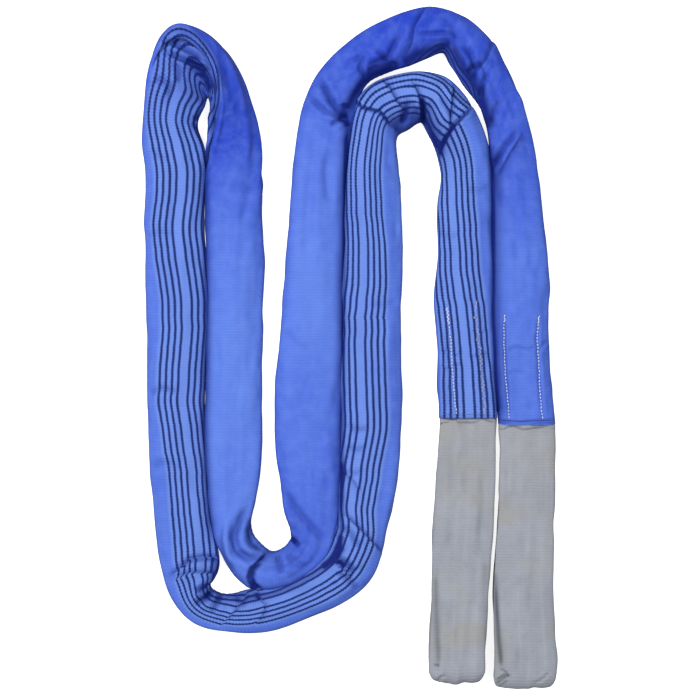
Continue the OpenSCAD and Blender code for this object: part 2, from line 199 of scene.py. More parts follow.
# First station, last station and the creases on that stretch. A crease is its kind, height,
# width and reach in mm, and the x, y pairs of its line in mm. Kinds: "valley", "ridge", "step"
# (left side raised), "shade" (darkens only), "slip" (moves the stripes left of the line).
CREASES = [
    (101, 134, [  # plain run over the top arch
        ("step", 5, 4, 16, [182.9, 510.9, 171.9, 495.2, 159.3, 473.1, 156.9, 449.4,
                            145.1, 428.9]),
        ("valley", 2.6, 3.2, 1.2, [160.9, 463.6, 186.1, 464.6, 220.8, 466, 231.8, 457.3]),
        ("valley", 4, 4.5, 1.8, [85.2, 413.2, 107.2, 422.6, 121.4, 430.5, 129.3, 447.9,
                                 141.9, 463.6]),
        ("valley", 3.6, 4, 1.6, [63.1, 422.6, 78.8, 425.8, 75.7, 410, 85.2, 394.2]),
        ("valley", 3, 4, 1.4, [100.9, 441.6, 115.1, 425.8, 132.5, 416.3]),
        ("valley", 5.5, 5, 2.4, [9.5, 394.2, 20.5, 378.5, 33.9, 353.2, 45.7, 332.7,
                                 59.9, 324.9]),
        ("valley", 3.6, 4, 1.8, [-4.7, 367.4, 6.3, 354.8, 22.1, 342.2, 44.2, 332.7]),
        ("valley", 3.4, 4, 1.4, [28.4, 318.6, 41, 328, 59.9, 335.9]),
        ("step", 5, 4, 15, [287, 460.5, 282.3, 444.7, 274.4, 425.8, 258.6, 403.7]),
        ("valley", 4, 4, 2, [268.1, 419.5, 252.3, 413.2, 242.9, 400.6]),
        ("valley", 4, 4.5, 2, [236.5, 447.9, 249.2, 432.1, 255.5, 410, 252.3, 387.9]),
        ("valley", 3.4, 4, 1.6, [277.6, 403.7, 268.1, 384.8, 264.9, 362.7]),
        ("step", 3.4, 5.4, 12, [291.7, 239.7, 301.2, 258.6, 312.2, 279.1, 323.3, 296.5,
                                332.7, 313.8]),
        ("valley", 4, 4.5, 2, [324.9, 313.8, 304.4, 290.2, 290.2, 268.1, 283.9, 252.3]),
        ("valley", 3, 5, 1.4, [296.5, 362.7, 287, 343.8, 280.7, 321.7]),
        ("ridge", 2.5, 7, 0, [304.4, 425.8, 321.7, 387.9, 334.3, 346.9]),
        ("valley", 2.2, 6, 1, [201.9, 495.2, 220.8, 476.3, 230.2, 451]),
        ("shade", 11, 8, 0, [53.6, 343.8, 63.1, 365.9, 77.3, 387.9, 94.6, 403.7,
                             116.7, 411.6, 138.8, 419.5]),
        ("shade", 7, 5, 0, [85.2, 406.9, 100.9, 411.6, 119.9, 414.8]),
        ("shade", 10, 10, 0, [141.9, 419.5, 162.4, 432.1, 186.1, 440, 205, 446.3,
                              219.2, 449.4]),
        ("shade", 10, 9, 0, [219.2, 446.3, 230.2, 422.6, 244.4, 400.6, 261.8, 375.3,
                             272.8, 346.9, 279.1, 312.2]),
        ("shade", 10, 6, 0, [47.3, 356.4, 50.5, 337.5, 55.2, 318.6]),
    ]),
    (6, 22, [  # striped run under the top arch
        ("slip", -34, 3, 52, [176.6, 173.5, 186.1, 228.7, 200.3, 271.2, 209.7, 296.5,
                              223.1, 317, 246, 340.6, 258.6, 359.6, 277.6, 387.9]),
        ("step", 9, 2.7, 16, [64.7, 369, 71.8, 359.6, 78.8, 350.1, 107.2, 343, 116.7, 331.2,
                              124.6, 313.8]),
        ("valley", 2, 2.5, 0, [66.2, 364.3, 78.8, 348.5, 107.2, 339.8, 123, 324.9]),
        ("step", 6, 3.6, 16, [145.1, 343.8, 133.3, 356.4, 123.8, 376.9, 108.8, 395.8]),
        ("step", 7, 3.4, 16, [171.9, 328, 171.9, 350.1, 164.8, 375.3, 156.1, 391.1]),
        ("valley", 7, 3.6, 2, [175, 321.7, 174.3, 343.8, 173.5, 369]),
        ("valley", 4, 4.5, 2.4, [140.4, 321.7, 146.7, 340.6, 151.4, 362.7]),
        ("step", 7, 3, 16, [255.5, 356.4, 246, 340.6, 223.1, 317, 209.7, 296.5,
                            200.3, 274.4]),
        ("valley", 2.5, 2.6, 0, [247.6, 346.9, 221.6, 321.7, 206.6, 298.1, 198.7, 277.6]),
        ("step", 5, 3.2, 14, [216, 312.2, 216.8, 337.5, 220, 362.7, 223.1, 387.9]),
        ("valley", 3.2, 3.6, 1.4, [201.9, 365.9, 211.3, 350.1, 219.2, 331.2]),
        ("ridge", 3, 7, 0, [189.2, 394.2, 197.1, 369, 198.7, 343.8]),
        ("shade", 6.5, 13, 0, [121.4, 318.6, 132.5, 328, 148.2, 334.3, 167.2, 346.9]),
        ("shade", 4.5, 6, 0, [127.7, 313.8, 148.2, 315.4, 162.4, 323.3, 171.9, 332.7]),
        ("shade", 5.5, 12, 0, [175, 356.4, 181.4, 337.5, 192.4, 312.2, 201.9, 283.9]),
        ("shade", 5, 5, 0, [176.6, 334.3, 186.1, 309.1, 197.1, 287, 205, 268.1]),
        ("shade", 7, 4, 0, [225.5, 321.7, 214.5, 305.9, 206.6, 290.2, 201.9, 274.4]),
    ]),
    (16, 35, [  # striped run down the centre
        ("shade", 7, 4, 0, [52, 343.8, 50.5, 321.7, 50.5, 299.6]),
        ("step", 4.4, 3.4, 12, [115.1, -356.4, 100.9, -339.1, 82, -318.6, 63.1, -299.6,
                                45.7, -285.4]),
        ("valley", 3.2, 5, 1.4, [44.2, -305.9, 63.1, -321.7, 75.7, -343.8]),
        ("step", 2.6, 4, 10, [45.7, -220.8, 63.1, -233.4, 78.8, -255.5]),
        ("shade", 9, 5, 0, [37.8, -356.4, 44.2, -340.6, 47.3, -321.7]),
        ("valley", 1.6, 6, 0.6, [134, 47.3, 116.7, 37.8, 94.6, 42.6]),
        ("valley", 2.2, 4.5, 1, [53.6, -148.2, 69.4, -157.7, 91.5, -154.5]),
        ("valley", 2, 4.5, 1, [52, -182.9, 69.4, -189.2, 88.3, -184.5]),
        ("valley", 1.8, 4.5, 1, [52, -220.8, 66.2, -225.5, 85.2, -220.8]),
        ("shade", 7, 4, 0, [37.8, -350.1, 45.7, -315.4, 47.3, -268.1, 47.3, -205]),
        ("shade", 8, 4, 0, CENTRE_GAP),
    ]),
    (28, 50, [  # striped run across the bottom
        ("valley", 3.6, 4, 2, [-141.9, -413.2, -148.2, -430.5, -157.7, -446.3]),
        ("valley", 7.5, 4.2, 3, LOWER_LEFT_CREASE),
        ("step", 2.4, 3, 12, [-135.6, -458.9, -121.4, -441.6, -105.7, -425.8, -97.8, -410]),
        ("step", 2.8, 3, 12, [-85.2, -460.5, -75.7, -444.7, -72.5, -432.1, -89.9, -416.3]),
        ("valley", 2, 4, 1.8, [-119.9, -413.2, -113.5, -427.4, -100.9, -435.3]),
        ("valley", 3, 5, 1.4, [37.8, -378.5, 56.8, -391.1, 75.7, -410]),
        ("valley", 6, 5, 2.4, [37.8, -362.7, 53.6, -364.3, 69.4, -381.6]),
        ("shade", 5, 8, 0, [-170.3, -419.5, -145.1, -421.1, -113.5, -422.6, -78.8, -419.5]),
        ("shade", 11, 5.5, 0, [15.8, -373.7, 30, -362.7, 41, -353.2, 48.9, -339.1]),
        ("shade", 9, 3.2, 0, [36.3, -365.9, 44.2, -364.3, 52, -372.2]),
        ("slip", 5, 2.5, 10, [-148.2, -473.1, -135.6, -458.9, -121.4, -441.6,
                              -105.7, -425.8, -97.8, -402.1]),
        ("slip", -4, 2.5, 10, [-94.6, -476.3, -85.2, -460.5, -75.7, -444.7, -72.5, -432.1,
                               -89.9, -402.1]),
        ("step", 4, 2.5, 9, [63.1, -389.5, 53.6, -380.1, 45.7, -372.2, 37.8, -372.2]),
        ("shade", 6, 6, 0, [-97.8, -416.3, -66.2, -416.3, -18.9, -399, 28.4, -362.7,
                            44.2, -331.2]),
    ]),
    (42, 60, [  # striped run up the left
        ("step", 4.6, 3.6, 13, [-143.5, -356.4, -168.7, -354.8, -190.8, -358, -205, -372.2,
                                -227.1, -389.5]),
        ("valley", 3.6, 3.4, 0.8, [-143.5, -361.1, -170.3, -360.3, -190.8, -362.7,
                                   -205, -376.9]),
        ("step", 4, 3.4, 10, [-146.7, -381.6, -170.3, -380.1, -192.4, -380.1,
                              -214.5, -389.5]),
        ("valley", 4.4, 4, 2, [-149.8, -403.7, -167.2, -402.1, -184.5, -410]),
        ("valley", 7.5, 4.2, 3, LOWER_LEFT_CREASE),
        ("shade", 6, 10, 0, [-146.7, -356.4, -149.8, -378.5, -157.7, -400.6,
                             -170.3, -419.5]),
        ("slip", -7, 2.5, 9, [-129.3, -358, -143.5, -356.4, -168.7, -354.8, -190.8, -358,
                              -205, -372.2, -239.7, -391.1]),
        ("slip", 5, 2.5, 9, [-129.3, -383.2, -146.7, -381.6, -170.3, -380.1, -192.4, -380.1,
                             -214.5, -389.5, -239.7, -403.7]),
        ("shade", 5, 5, 0, [-182.9, 343.8, -176.6, 318.6, -168.7, 290.2]),
        ("valley", 1.8, 6, 0.6, [-255.5, 283.9, -239.7, 271.2, -220.8, 268.1]),
        ("valley", 1.6, 6, 0.6, [-258.6, 141.9, -239.7, 154.5, -214.5, 148.2]),
        ("valley", 2.2, 5, 0.9, [-257.1, -102.5, -236.5, -91.5, -208.2, -97.8]),
        ("valley", 1.8, 6, 0.7, [-252.3, -217.6, -230.2, -208.2, -201.9, -217.6]),
        ("shade", 8, 5, 0, LEFT_GAP),
    ]),
    (53, 79, [  # fold at the top left
        ("shade", 11, 8, 0, [-192.4, 425.8, -176.6, 410, -164, 394.2, -159.3, 375.3]),
        ("valley", 7, 3.6, 3, [-230.2, 438.4, -206.6, 425.8, -182.9, 416.3, -156.1, 405.3]),
        ("valley", 4.4, 3.6, 2, [-227.1, 451, -208.2, 446.3, -187.7, 435.3, -168.7, 421.1]),
        ("valley", 3.4, 4.5, 1.6, [-216, 422.6, -206.6, 403.7, -209.7, 384.8]),
        ("valley", 3.2, 5, 1.4, [-247.6, 387.9, -235, 394.2, -220.8, 381.6, -223.9, 362.7]),
        ("ridge", 2.6, 8, 0, [-255.5, 402.1, -242.9, 378.5, -223.9, 356.4]),
        ("valley", 5.5, 4.5, 2, [-186.1, 328, -173.5, 337.5, -162.4, 350.1]),
        ("valley", 4, 4.5, 1.6, [-187.7, 328, -176.6, 312.2, -167.2, 293.3]),
        ("ridge", 2.6, 3.6, 0, [-197.1, 484.1, -189.2, 468.4, -175, 447.9, -157.7, 424.2,
                                -143.5, 392.7, -138.8, 351.7, -143.5, 318.6,
                                -154.5, 271.2]),
        ("valley", 2.2, 7, 0, [-182.9, 479.4, -167.2, 460.5, -145.1, 435.3, -130.9, 400.6,
                               -126.2, 356.4]),
        ("valley", 3, 4.5, 0.8, [-154.5, 394.2, -146.7, 369, -148.2, 337.5, -157.7, 305.9]),
    ]),
    (73, 92, [  # plain run down the left
        ("valley", 2.2, 9, 0.8, [-137.2, 189.2, -132.5, 141.9, -141.9, 86.7]),
        ("valley", 2.2, 7, 0.8, [-94.6, 236.5, -100.9, 197.1, -113.5, 165.6]),
        ("valley", 1.8, 8, 0.5, [-154.5, 0, -148.2, -55.2, -154.5, -110.4]),
        ("shade", 9, 8.5, 0, LEFT_GAP),
    ]),
    (82, 104, [  # plain run round the bottom
        ("valley", 6.5, 6, 3, [-100.9, -276, -113.5, -299.6, -123, -324.9, -119.9, -346.9,
                               -97.8, -356.4, -69.4, -356.4]),
        ("valley", 4.2, 5, 2, [-93, -293.3, -99.4, -315.4, -94.6, -335.9, -78.8, -348.5]),
        ("step", 7.5, 4, 18, [-78.8, -413.2, -94.6, -403.7, -100.9, -387.9, -96.2, -372.2,
                              -78.8, -356.4, -64.7, -345.4]),
        ("valley", 5.5, 4, 0, [-75.7, -410, -89.9, -400.6, -93.8, -387.9, -89.9, -375.3,
                               -75.7, -362.7]),
        ("ridge", 3.2, 8, 0, [-130.9, -299.6, -135.6, -331.2, -126.2, -362.7,
                              -108.8, -386.4]),
        ("valley", 2.6, 6, 1, [-148.2, -323.3, -138.8, -354.8, -119.9, -381.6]),
        ("valley", 4.5, 3.6, 2.6, [-37.8, -323.3, -26.8, -330.4, -18.9, -340.6]),
        ("shade", 10, 3, 0, [-39.4, -321.7, -31.5, -328, -25.2, -334.3]),
        ("valley", 4.2, 6, 2, [-44.2, -249.2, -31.5, -272.8, -12.6, -296.5, 9.5, -320.1,
                               22.1, -339.1]),
        ("ridge", 3.4, 7, 0, [-52, -264.9, -41, -290.2, -25.2, -312.2]),
        ("valley", 3.6, 6, 1.6, [-37.8, -350.1, -25.2, -365.9, -3.2, -375.3]),
        ("valley", 3.2, 5, 1.4, [-56.8, -350.1, -50.5, -365.9, -47.3, -384.8]),
        ("shade", 4, 5, 0, [-156.1, -331.2, -135.6, -372.2, -105.7, -403.7, -66.2, -416.3,
                            -18.9, -399, 28.4, -362.7, 45.7, -299.6]),
    ]),
    (94, 112, [  # plain run up the centre
        ("valley", 1.8, 9, 0.5, [-3.2, 220.8, -9.5, 165.6, 0, 107.2]),
        ("valley", 2.2, 7, 0.8, [31.5, 283.9, 22.1, 244.4, 28.4, 197.1]),
        ("valley", 1.8, 7, 0.6, [-44.2, 0, -25.2, -23.7, 3.2, -34.7]),
        ("shade", 8, 10, 0, CENTRE_GAP),
        ("shade", 7, 3.5, 0, CENTRE_GAP),
    ]),
    (0, 12, [  # run from hem A
        ("valley", 1.6, 6, 0.6, [208.2, -141.9, 209.7, -102.5, 211.3, -47.3, 205, 7.9]),
        ("valley", 1.8, 6, 0.6, [279.1, 227.1, 264.9, 217.6, 246, 220.8]),
        ("valley", 1.8, 6, 0.6, [197.1, 154.5, 211.3, 145.1, 230.2, 148.2]),
        ("shade", 8, 5, 0, RIGHT_GAP),
        ("shade", 5, 1.6, 0, [197.1, -136.4, 233.4, -138, 287, -137.2]),
        ("step", 1.5, 2.2, 7, [198.7, -34.7, 212.9, -30, 227.1, -37.8, 238.1, -33.1]),
        ("step", 1.4, 2.2, 7, [200.3, -55.2, 214.5, -59.9, 228.7, -52, 241.3, -56.8]),
        ("step", 1.3, 2.4, 7, [249.2, 0, 261.8, -4.7, 274.4, 1.6, 282.3, -3.2]),
        ("step", 1.4, 2.4, 7, [242.9, -34.7, 257.1, -41, 274.4, -34.7, 283.9, -39.4]),
        ("valley", 1.7, 2.4, 0.5, [212.1, 39.4, 217, -1.6, 220.8, -63.1, 223.3, -97.8,
                                   226.9, -140.4]),
        ("valley", 1.9, 2.8, 0.6, [256.4, 50.5, 260.2, -11, 264.9, -39.4, 268.1, -82,
                                   272, -140.4]),
    ]),
    (123, 135, [  # run to hem B
        ("valley", 2, 8, 0.6, [320.1, 205, 315.4, 154.5, 328, 107.2]),
        ("valley", 2.6, 6, 1, [296.5, 283.9, 293.3, 236.5, 301.2, 189.2]),
        ("shade", 8, 13, 0, RIGHT_GAP),
        ("shade", 8, 4, 0, [280.7, 283.9, 283.9, 236.5, 283.9, 173.5, 283.9, 110.4,
                            283.9, 15.8, 287, -63.1, 293.3, -148.2]),
        ("shade", 7, 1.5, 0, [294.9, -141.3, 328, -143.5, 351.7, -141.3, 381.6, -140.4]),
        ("shade", 6, 1.3, 0, [294.9, -146, 328, -147.6, 351.7, -146.3, 381.6, -145.4]),
        ("valley", 2.4, 2.8, 0.8, [302.8, 31.5, 301.5, -17.3, 303.7, -66.2, 307, -102.5,
                                   310, -148.2]),
        ("valley", 2.2, 2.8, 0.8, [357, 30, 353.7, -14.2, 356.4, -58.3, 358.9, -107.2,
                                   362.1, -148.2]),
        ("valley", 1.5, 3, 0.6, [304.4, -34.7, 318.6, -26.8, 340.6, -30, 354.8, -25.2]),
        ("valley", 1.6, 3, 0.6, [354.8, -34.7, 364.3, -20.5, 373.7, -17.3]),
        ("valley", 1, 3, 0.4, [304.4, -71, 320.1, -64.7, 334.3, -67.8]),
    ]),
]


# ---------------------------------------------------------------- number helpers
def ease(x):
    """Smooth step of a share from 0 to 1."""
    return x * x * (3 - 2 * x)


def arc_length(points):
    """Distance along a line of points, starting at 0."""
    steps = np.linalg.norm(np.diff(points, axis=0), axis=1)
    return np.concatenate([[0], np.cumsum(steps)])


def interp_columns(at, known, table):
    """Every column of a table interpolated at the same places."""
    return np.stack([np.interp(at, known, column) for column in table.T], 1)


def smooth_rows(rows, sigma, step):
    """Gaussian smoothing along axis 0, holding the end rows."""
    reach = max(1, int(3 * sigma / step))
    kernel = np.exp(-0.5 * (np.arange(-reach, reach + 1) * step / sigma) ** 2)
    kernel /= kernel.sum()
    head = 2 * rows[:1] - rows[1 : reach + 1][::-1]
    tail = 2 * rows[-1:] - rows[-reach - 1 : -1][::-1]
    padded = np.concatenate([head, rows, tail])
    return sum(kernel[i] * padded[i : i + len(rows)] for i in range(2 * reach + 1))


def smooth_values(values, sigma, step):
    return smooth_rows(values[:, None], sigma, step)[:, 0]


def noise2(x, y, seed, scale_x, scale_y):
    """Smooth value noise in two dimensions."""
    grid = np.random.default_rng(seed).normal(size=(256, 256))
    x, y = x / scale_x + 50, y / scale_y + 50
    i, j = np.floor(x).astype(int) % 255, np.floor(y).astype(int) % 255
    part_x, part_y = ease(x - np.floor(x)), ease(y - np.floor(y))
    near = grid[i, j] * (1 - part_x) + grid[i + 1, j] * part_x
    far = grid[i, j + 1] * (1 - part_x) + grid[i + 1, j + 1] * part_x
    return near * (1 - part_y) + far * part_y


def upsample(values, axis=0, wrap=False):
    """Catmull-Rom upsampling to twice as many entries along an axis."""
    values = np.moveaxis(values, axis, 0)
    count = len(values)
    i = np.arange(count if wrap else count - 1)

    def pick(index):
        return values[index % count if wrap else np.clip(index, 0, count - 1)]

    p0, p1, p2, p3 = pick(i - 1), pick(i), pick(i + 1), pick(i + 2)
    between = [
        0.5 * (2 * p1 + (p2 - p0) * t + (2 * p0 - 5 * p1 + 4 * p2 - p3) * t * t
               + (3 * p1 - p0 - 3 * p2 + p3) * t**3)
        for t in (0.0, 0.5)
    ]
    result = np.stack(between, 1).reshape((-1,) + values.shape[1:])
    if not wrap:
        result = np.concatenate([result, values[-1:]])
    return np.moveaxis(result, 0, axis)


def refine(rings):
    return upsample(upsample(rings), axis=1, wrap=True)


# ---------------------------------------------------------------- outlines across the run
def even_outline(closed, count):
    """Points evenly spaced along a closed outline whose last point repeats the first."""
    length = arc_length(closed)
    return interp_columns(np.arange(count) / count * length[-1], length, closed)


def section(half_width, half_height, power, roll, count, flat):
    """Superellipse outline rolled by roll, resting on z = 0 and flattened below flat."""
    turn = np.linspace(0, 2 * PI, 361)
    cos, sin = np.cos(turn), np.sin(turn)
    x = half_width * np.sign(cos) * np.abs(cos) ** (2 / power)
    z = half_height * np.sign(sin) * np.abs(sin) ** (2 / power)
    outline = np.stack([x * math.cos(roll) - z * math.sin(roll),
                        x * math.sin(roll) + z * math.cos(roll)], 1)
    z = outline[:, 1] - outline[:, 1].min()
    outline[:, 1] = np.where(z < flat, z**2 / (2 * flat), z - flat / 2)
    return even_outline(outline, count)


def standing_section(half, share, height, count):
    """Outline of the cover standing on its edge in the left-hand fold: flat on the floor, its
    crest at a share of the way from the outer to the inner edge, leaning over inwards."""
    crest = half * (1 - 2 * share) * 0.90
    lean = 0.010 * math.sin(PI * min(1, share * 1.15)) + 0.002
    corners = [
        (crest, height), (crest - lean, height - 0.006), (crest - lean * 0.2, height - 0.019),
        ((crest - half) / 2 - 0.004, 0.029 + 0.25 * (height - 0.029) * (1 - share)),
        (-half + 0.002, 0.022), (-half + 0.001, 0.008), (-half + 0.007, 0.0),
        (half - 0.010, 0.0), (half, 0.012),
        (half * 0.5 + 0.5 * crest + 0.012 + 0.004 * share, 0.022 + 0.45 * (height - 0.022)),
        (crest + 0.006, height - 0.0015),
    ]
    closed = np.array(corners + corners[:1])
    length = arc_length(closed)
    outline = interp_columns(np.linspace(0, length[-1], 361)[:-1], length, closed)
    # round off the corners
    kernel = np.exp(-0.5 * (np.arange(-20, 21) * (length[-1] / 360) / 0.0035) ** 2)
    kernel /= kernel.sum()
    outline = sum(kernel[i + 20] * np.roll(outline, -i, 0) for i in range(-20, 21))
    outline[:, 1] -= outline[:, 1].min()
    return even_outline(np.concatenate([outline, outline[:1]]), count)


# ---------------------------------------------------------------- the cover as one grid
def cover_table():
    """Distance along the run at every ring and station, and the stations' values per ring."""
    stations = STATIONS.copy()
    stations[:, :4] /= 1000
    left, right = stations[:, 0:2], stations[:, 2:4]

    def steps(points):
        return np.linalg.norm(np.diff(points, axis=0), axis=1)

    mean_steps = (steps(left) + steps(right) + 2 * steps((left + right) / 2)) / 4
    at_station = np.concatenate([[0], np.cumsum(mean_steps)])
    at_ring = np.linspace(0, at_station[-1], int(at_station[-1] / STEP) + 1)
    table = interp_columns(at_ring, at_station, stations)
    return at_ring, at_station, smooth_rows(table, 0.009, STEP)


def cover_rings(at_ring, table):
    rings = np.zeros((len(at_ring), AROUND, 3))
    for i, (left_x, left_y, right_x, right_y, roll_deg, thick_mm) in enumerate(table):
        width = math.hypot(left_x - right_x, left_y - right_y)
        across = np.array([left_x - right_x, left_y - right_y]) / width
        width += EXTRA_WIDTH
        middle = np.array([left_x + right_x, left_y + right_y]) / 2
        roll = math.radians(roll_deg)
        tilt = abs(math.sin(roll))
        half_width, half_height = width / 2, thick_mm / 2000
        if tilt >= 0.02:
            half_width = width / 2 * (1 - tilt) + tilt * thick_mm / 2000
            half_height = thick_mm / 2000 * (1 - tilt) + tilt * width / 2
        near_hem = max(0.0, 1 - min(at_ring[i], at_ring[-1] - at_ring[i]) / HEM_ZONE)
        power = 2.35 - 0.2 * tilt + 1.3 * near_hem
        outline = section(half_width, half_height, power, roll, AROUND, flat=0.006)
        # keep the stated width and height after the roll
        outline[:, 0] *= width / 2 / np.abs(outline[:, 0]).max()
        outline[:, 1] *= thick_mm / 1000 / outline[:, 1].max()
        # a thick, tilted stretch stands on its edge
        standing = min(1.0, 1.5 * tilt) * min(1.0, max(0.0, (thick_mm - 36) / 5))
        if standing > 0.01:
            upright = standing_section(width / 2, (1 - math.cos(roll)) / 2,
                                       thick_mm / 1000, AROUND)
            outline = outline * (1 - standing) + upright * standing
            outline[:, 0] -= (outline[:, 0].max() + outline[:, 0].min()) / 2
            outline[:, 0] *= width / 2 / max(outline[:, 0].max(), 1e-6)
        rings[i, :, :2] = middle + across * outline[:, :1]
        rings[i, :, 2] = outline[:, 1]
    return rings


def grid_normals(rings):
    along = np.gradient(rings, axis=0)
    around = np.roll(rings, -1, 1) - np.roll(rings, 1, 1)
    normals = np.cross(around, along)
    return normals / np.maximum(np.linalg.norm(normals, axis=2, keepdims=True), 1e-12)


def run_and_angle(distance, count):
    """Distance along and angle round for every point of a tube grid."""
    return np.meshgrid(distance, np.arange(count) / count * 2 * PI, indexing="ij")


def pull(start, end, rest, stretched, squeezed):
    """Half of the move that brings each pair of points back to its rest length."""
    apart = end - start
    length = np.sqrt((apart * apart).sum(-1)) + 1e-9
    share = (length - rest) / length * 0.5
    return np.where(share > 0, share * stretched, share * squeezed)[..., None] * apart


def bend_wide(points):
    """Offset of the mean of the points three rings away, 0 at the ends."""
    bend = np.zeros_like(points)
    bend[3:-3] = (points[:-6] + points[6:]) * 0.5 - points[3:-3]
    return bend


def bend_around(points):
    return (np.roll(points, 1, 1) + np.roll(points, -1, 1)) * 0.5 - points


def settle(smooth, rounds):
    """Let the cloth buckle: lengthwise threads keep close to the length of the straight tube,
    so the inside of each bend folds up while the outside stays taut over the yarn."""
    ring_count, around = smooth.shape[:2]
    normals = grid_normals(smooth)
    along_len = np.linalg.norm(np.diff(smooth, axis=0), axis=2)
    mean = smooth_rows(along_len.mean(1, keepdims=True), 0.02, STEP)
    over = np.clip(mean / along_len - 1, 0, None)
    rest_along = along_len * (1 + np.minimum(over * SPARE_SHARE, 0.42))
    rest_along *= SLACK
    around_len = np.linalg.norm(np.roll(smooth, -1, 1) - smooth, axis=2)
    rest_around = np.repeat(around_len.mean(1, keepdims=True), around, 1) * SLACK
    half_along = 0.5 * (rest_along + np.roll(rest_along, -1, 1))
    half_around = 0.5 * (rest_around[:-1] + rest_around[1:])
    rest_diagonal = np.sqrt(half_along**2 + half_around**2)
    spare = np.zeros((ring_count, around))
    spare[1:-1] = np.clip(over[:-1] + over[1:], 0, 0.9) / 0.9
    spare = smooth_rows(spare, 0.012, STEP)
    spare = np.roll(spare, 1, 1) * 0.25 + spare * 0.5 + np.roll(spare, -1, 1) * 0.25
    # how far the cloth may move in, out and sideways
    limit_in = 0.0026 + 0.014 * spare
    limit_out = 0.0022 + 0.009 * spare
    limit_side = 0.004 + 0.010 * spare
    # starting ripple, stronger where there is cloth to spare
    run, angle = run_and_angle(np.arange(ring_count) * STEP, around)
    ripple = (noise2(run + 0.010 * np.cos(angle), np.cos(angle) * 1.2, 11, 0.022, 1.1)
              + 0.7 * noise2(run, np.sin(angle) * 1.2, 12, 0.034, 1.0))
    cloth = smooth + normals * (ripple * (0.0008 + 0.0050 * spare))[..., None]
    rest_wide, rest_round = bend_wide(smooth), bend_around(smooth)

    for _ in range(rounds):
        for odd in (0, 1):  # along the run
            first = np.arange(odd, ring_count - 1, 2)
            move = pull(cloth[first], cloth[first + 1], rest_along[first], 0.9, 0.7)
            cloth[first] += move
            cloth[first + 1] -= move
        for odd in (0, 1):  # round the run
            first = np.arange(odd, around, 2)
            second = (first + 1) % around
            move = pull(cloth[:, first], cloth[:, second], rest_around[:, first], 0.9, 0.6)
            cloth[:, first] += move
            cloth[:, second] -= move
        # shear, both diagonals, weak because the pairs overlap
        move = pull(cloth[:-1], np.roll(cloth, -1, 1)[1:], rest_diagonal, 0.10, 0.10)
        cloth[:-1] += move
        cloth[1:] -= np.roll(move, 1, 1)
        move = pull(np.roll(cloth, -1, 1)[:-1], cloth[1:], rest_diagonal, 0.10, 0.10)
        cloth[:-1] += np.roll(move, 1, 1)
        cloth[1:] -= move
        # bending smooths folds tighter than the cloth can make
        bend = np.zeros_like(cloth)
        bend[1:-1] = (cloth[:-2] + cloth[2:]) * 0.5 - cloth[1:-1]
        cloth += (0.16 * bend + 0.10 * (bend_wide(cloth) - rest_wide)
                  + 0.05 * (bend_around(cloth) - rest_round))
        # yarn inside, room outside, floor below
        moved = cloth - smooth
        outward = (moved * normals).sum(2)
        sideways = moved - normals * outward[..., None]
        side_len = np.linalg.norm(sideways, axis=2) + 1e-9
        sideways *= np.minimum(1, limit_side / side_len)[..., None]
        outward = np.clip(outward, -limit_in, limit_out)
        cloth = smooth + sideways * 0.995 + normals * (outward * 0.995)[..., None]
        cloth[..., 2] = np.maximum(cloth[..., 2], 0.0)
    return cloth


def wavy(rings, distance):
    """Small waviness of the cloth over the yarn, along its own normal."""
    run, angle = run_and_angle(distance, rings.shape[1])

    def wrapped(seed, scale, turns):
        return (noise2(run, np.cos(angle) * turns, seed, scale, 0.5) * 0.6
                + noise2(run + 31, np.sin(angle) * turns, seed + 1, scale, 0.5) * 0.6)

    out = (0.0007 * wrapped(3, 0.026, 2.2) + 0.0011 * wrapped(5, 0.060, 1.5)
           + 0.0012 * wrapped(7, 0.14, 1.2))
    return rings + grid_normals(rings) * out[..., None]


# ---------------------------------------------------------------- pressing in the creases
def nearest_on_line(ground, line):
    """Distance to a line, side of it (1 on its left) and share along it, per ground point."""
    best = np.full(ground.shape[:2], 9.0)
    side = np.ones(ground.shape[:2])
    along = np.zeros(ground.shape[:2])
    start_at = arc_length(line)
    for i in range(len(line) - 1):
        piece = line[i + 1] - line[i]
        length = np.linalg.norm(piece)
        offset = ground - line[i]
        share = np.clip((offset @ piece) / length**2, 0, 1)
        distance = np.linalg.norm(offset - share[..., None] * piece, axis=2)
        near = distance < best
        cross = piece[0] * offset[..., 1] - piece[1] * offset[..., 0]
        best = np.where(near, distance, best)
        side = np.where(near, np.sign(cross), side)
        along = np.where(near, start_at[i] + share * length, along)
    return best, side, along / start_at[-1]


def bell(x):
    return np.exp(-(x**2))


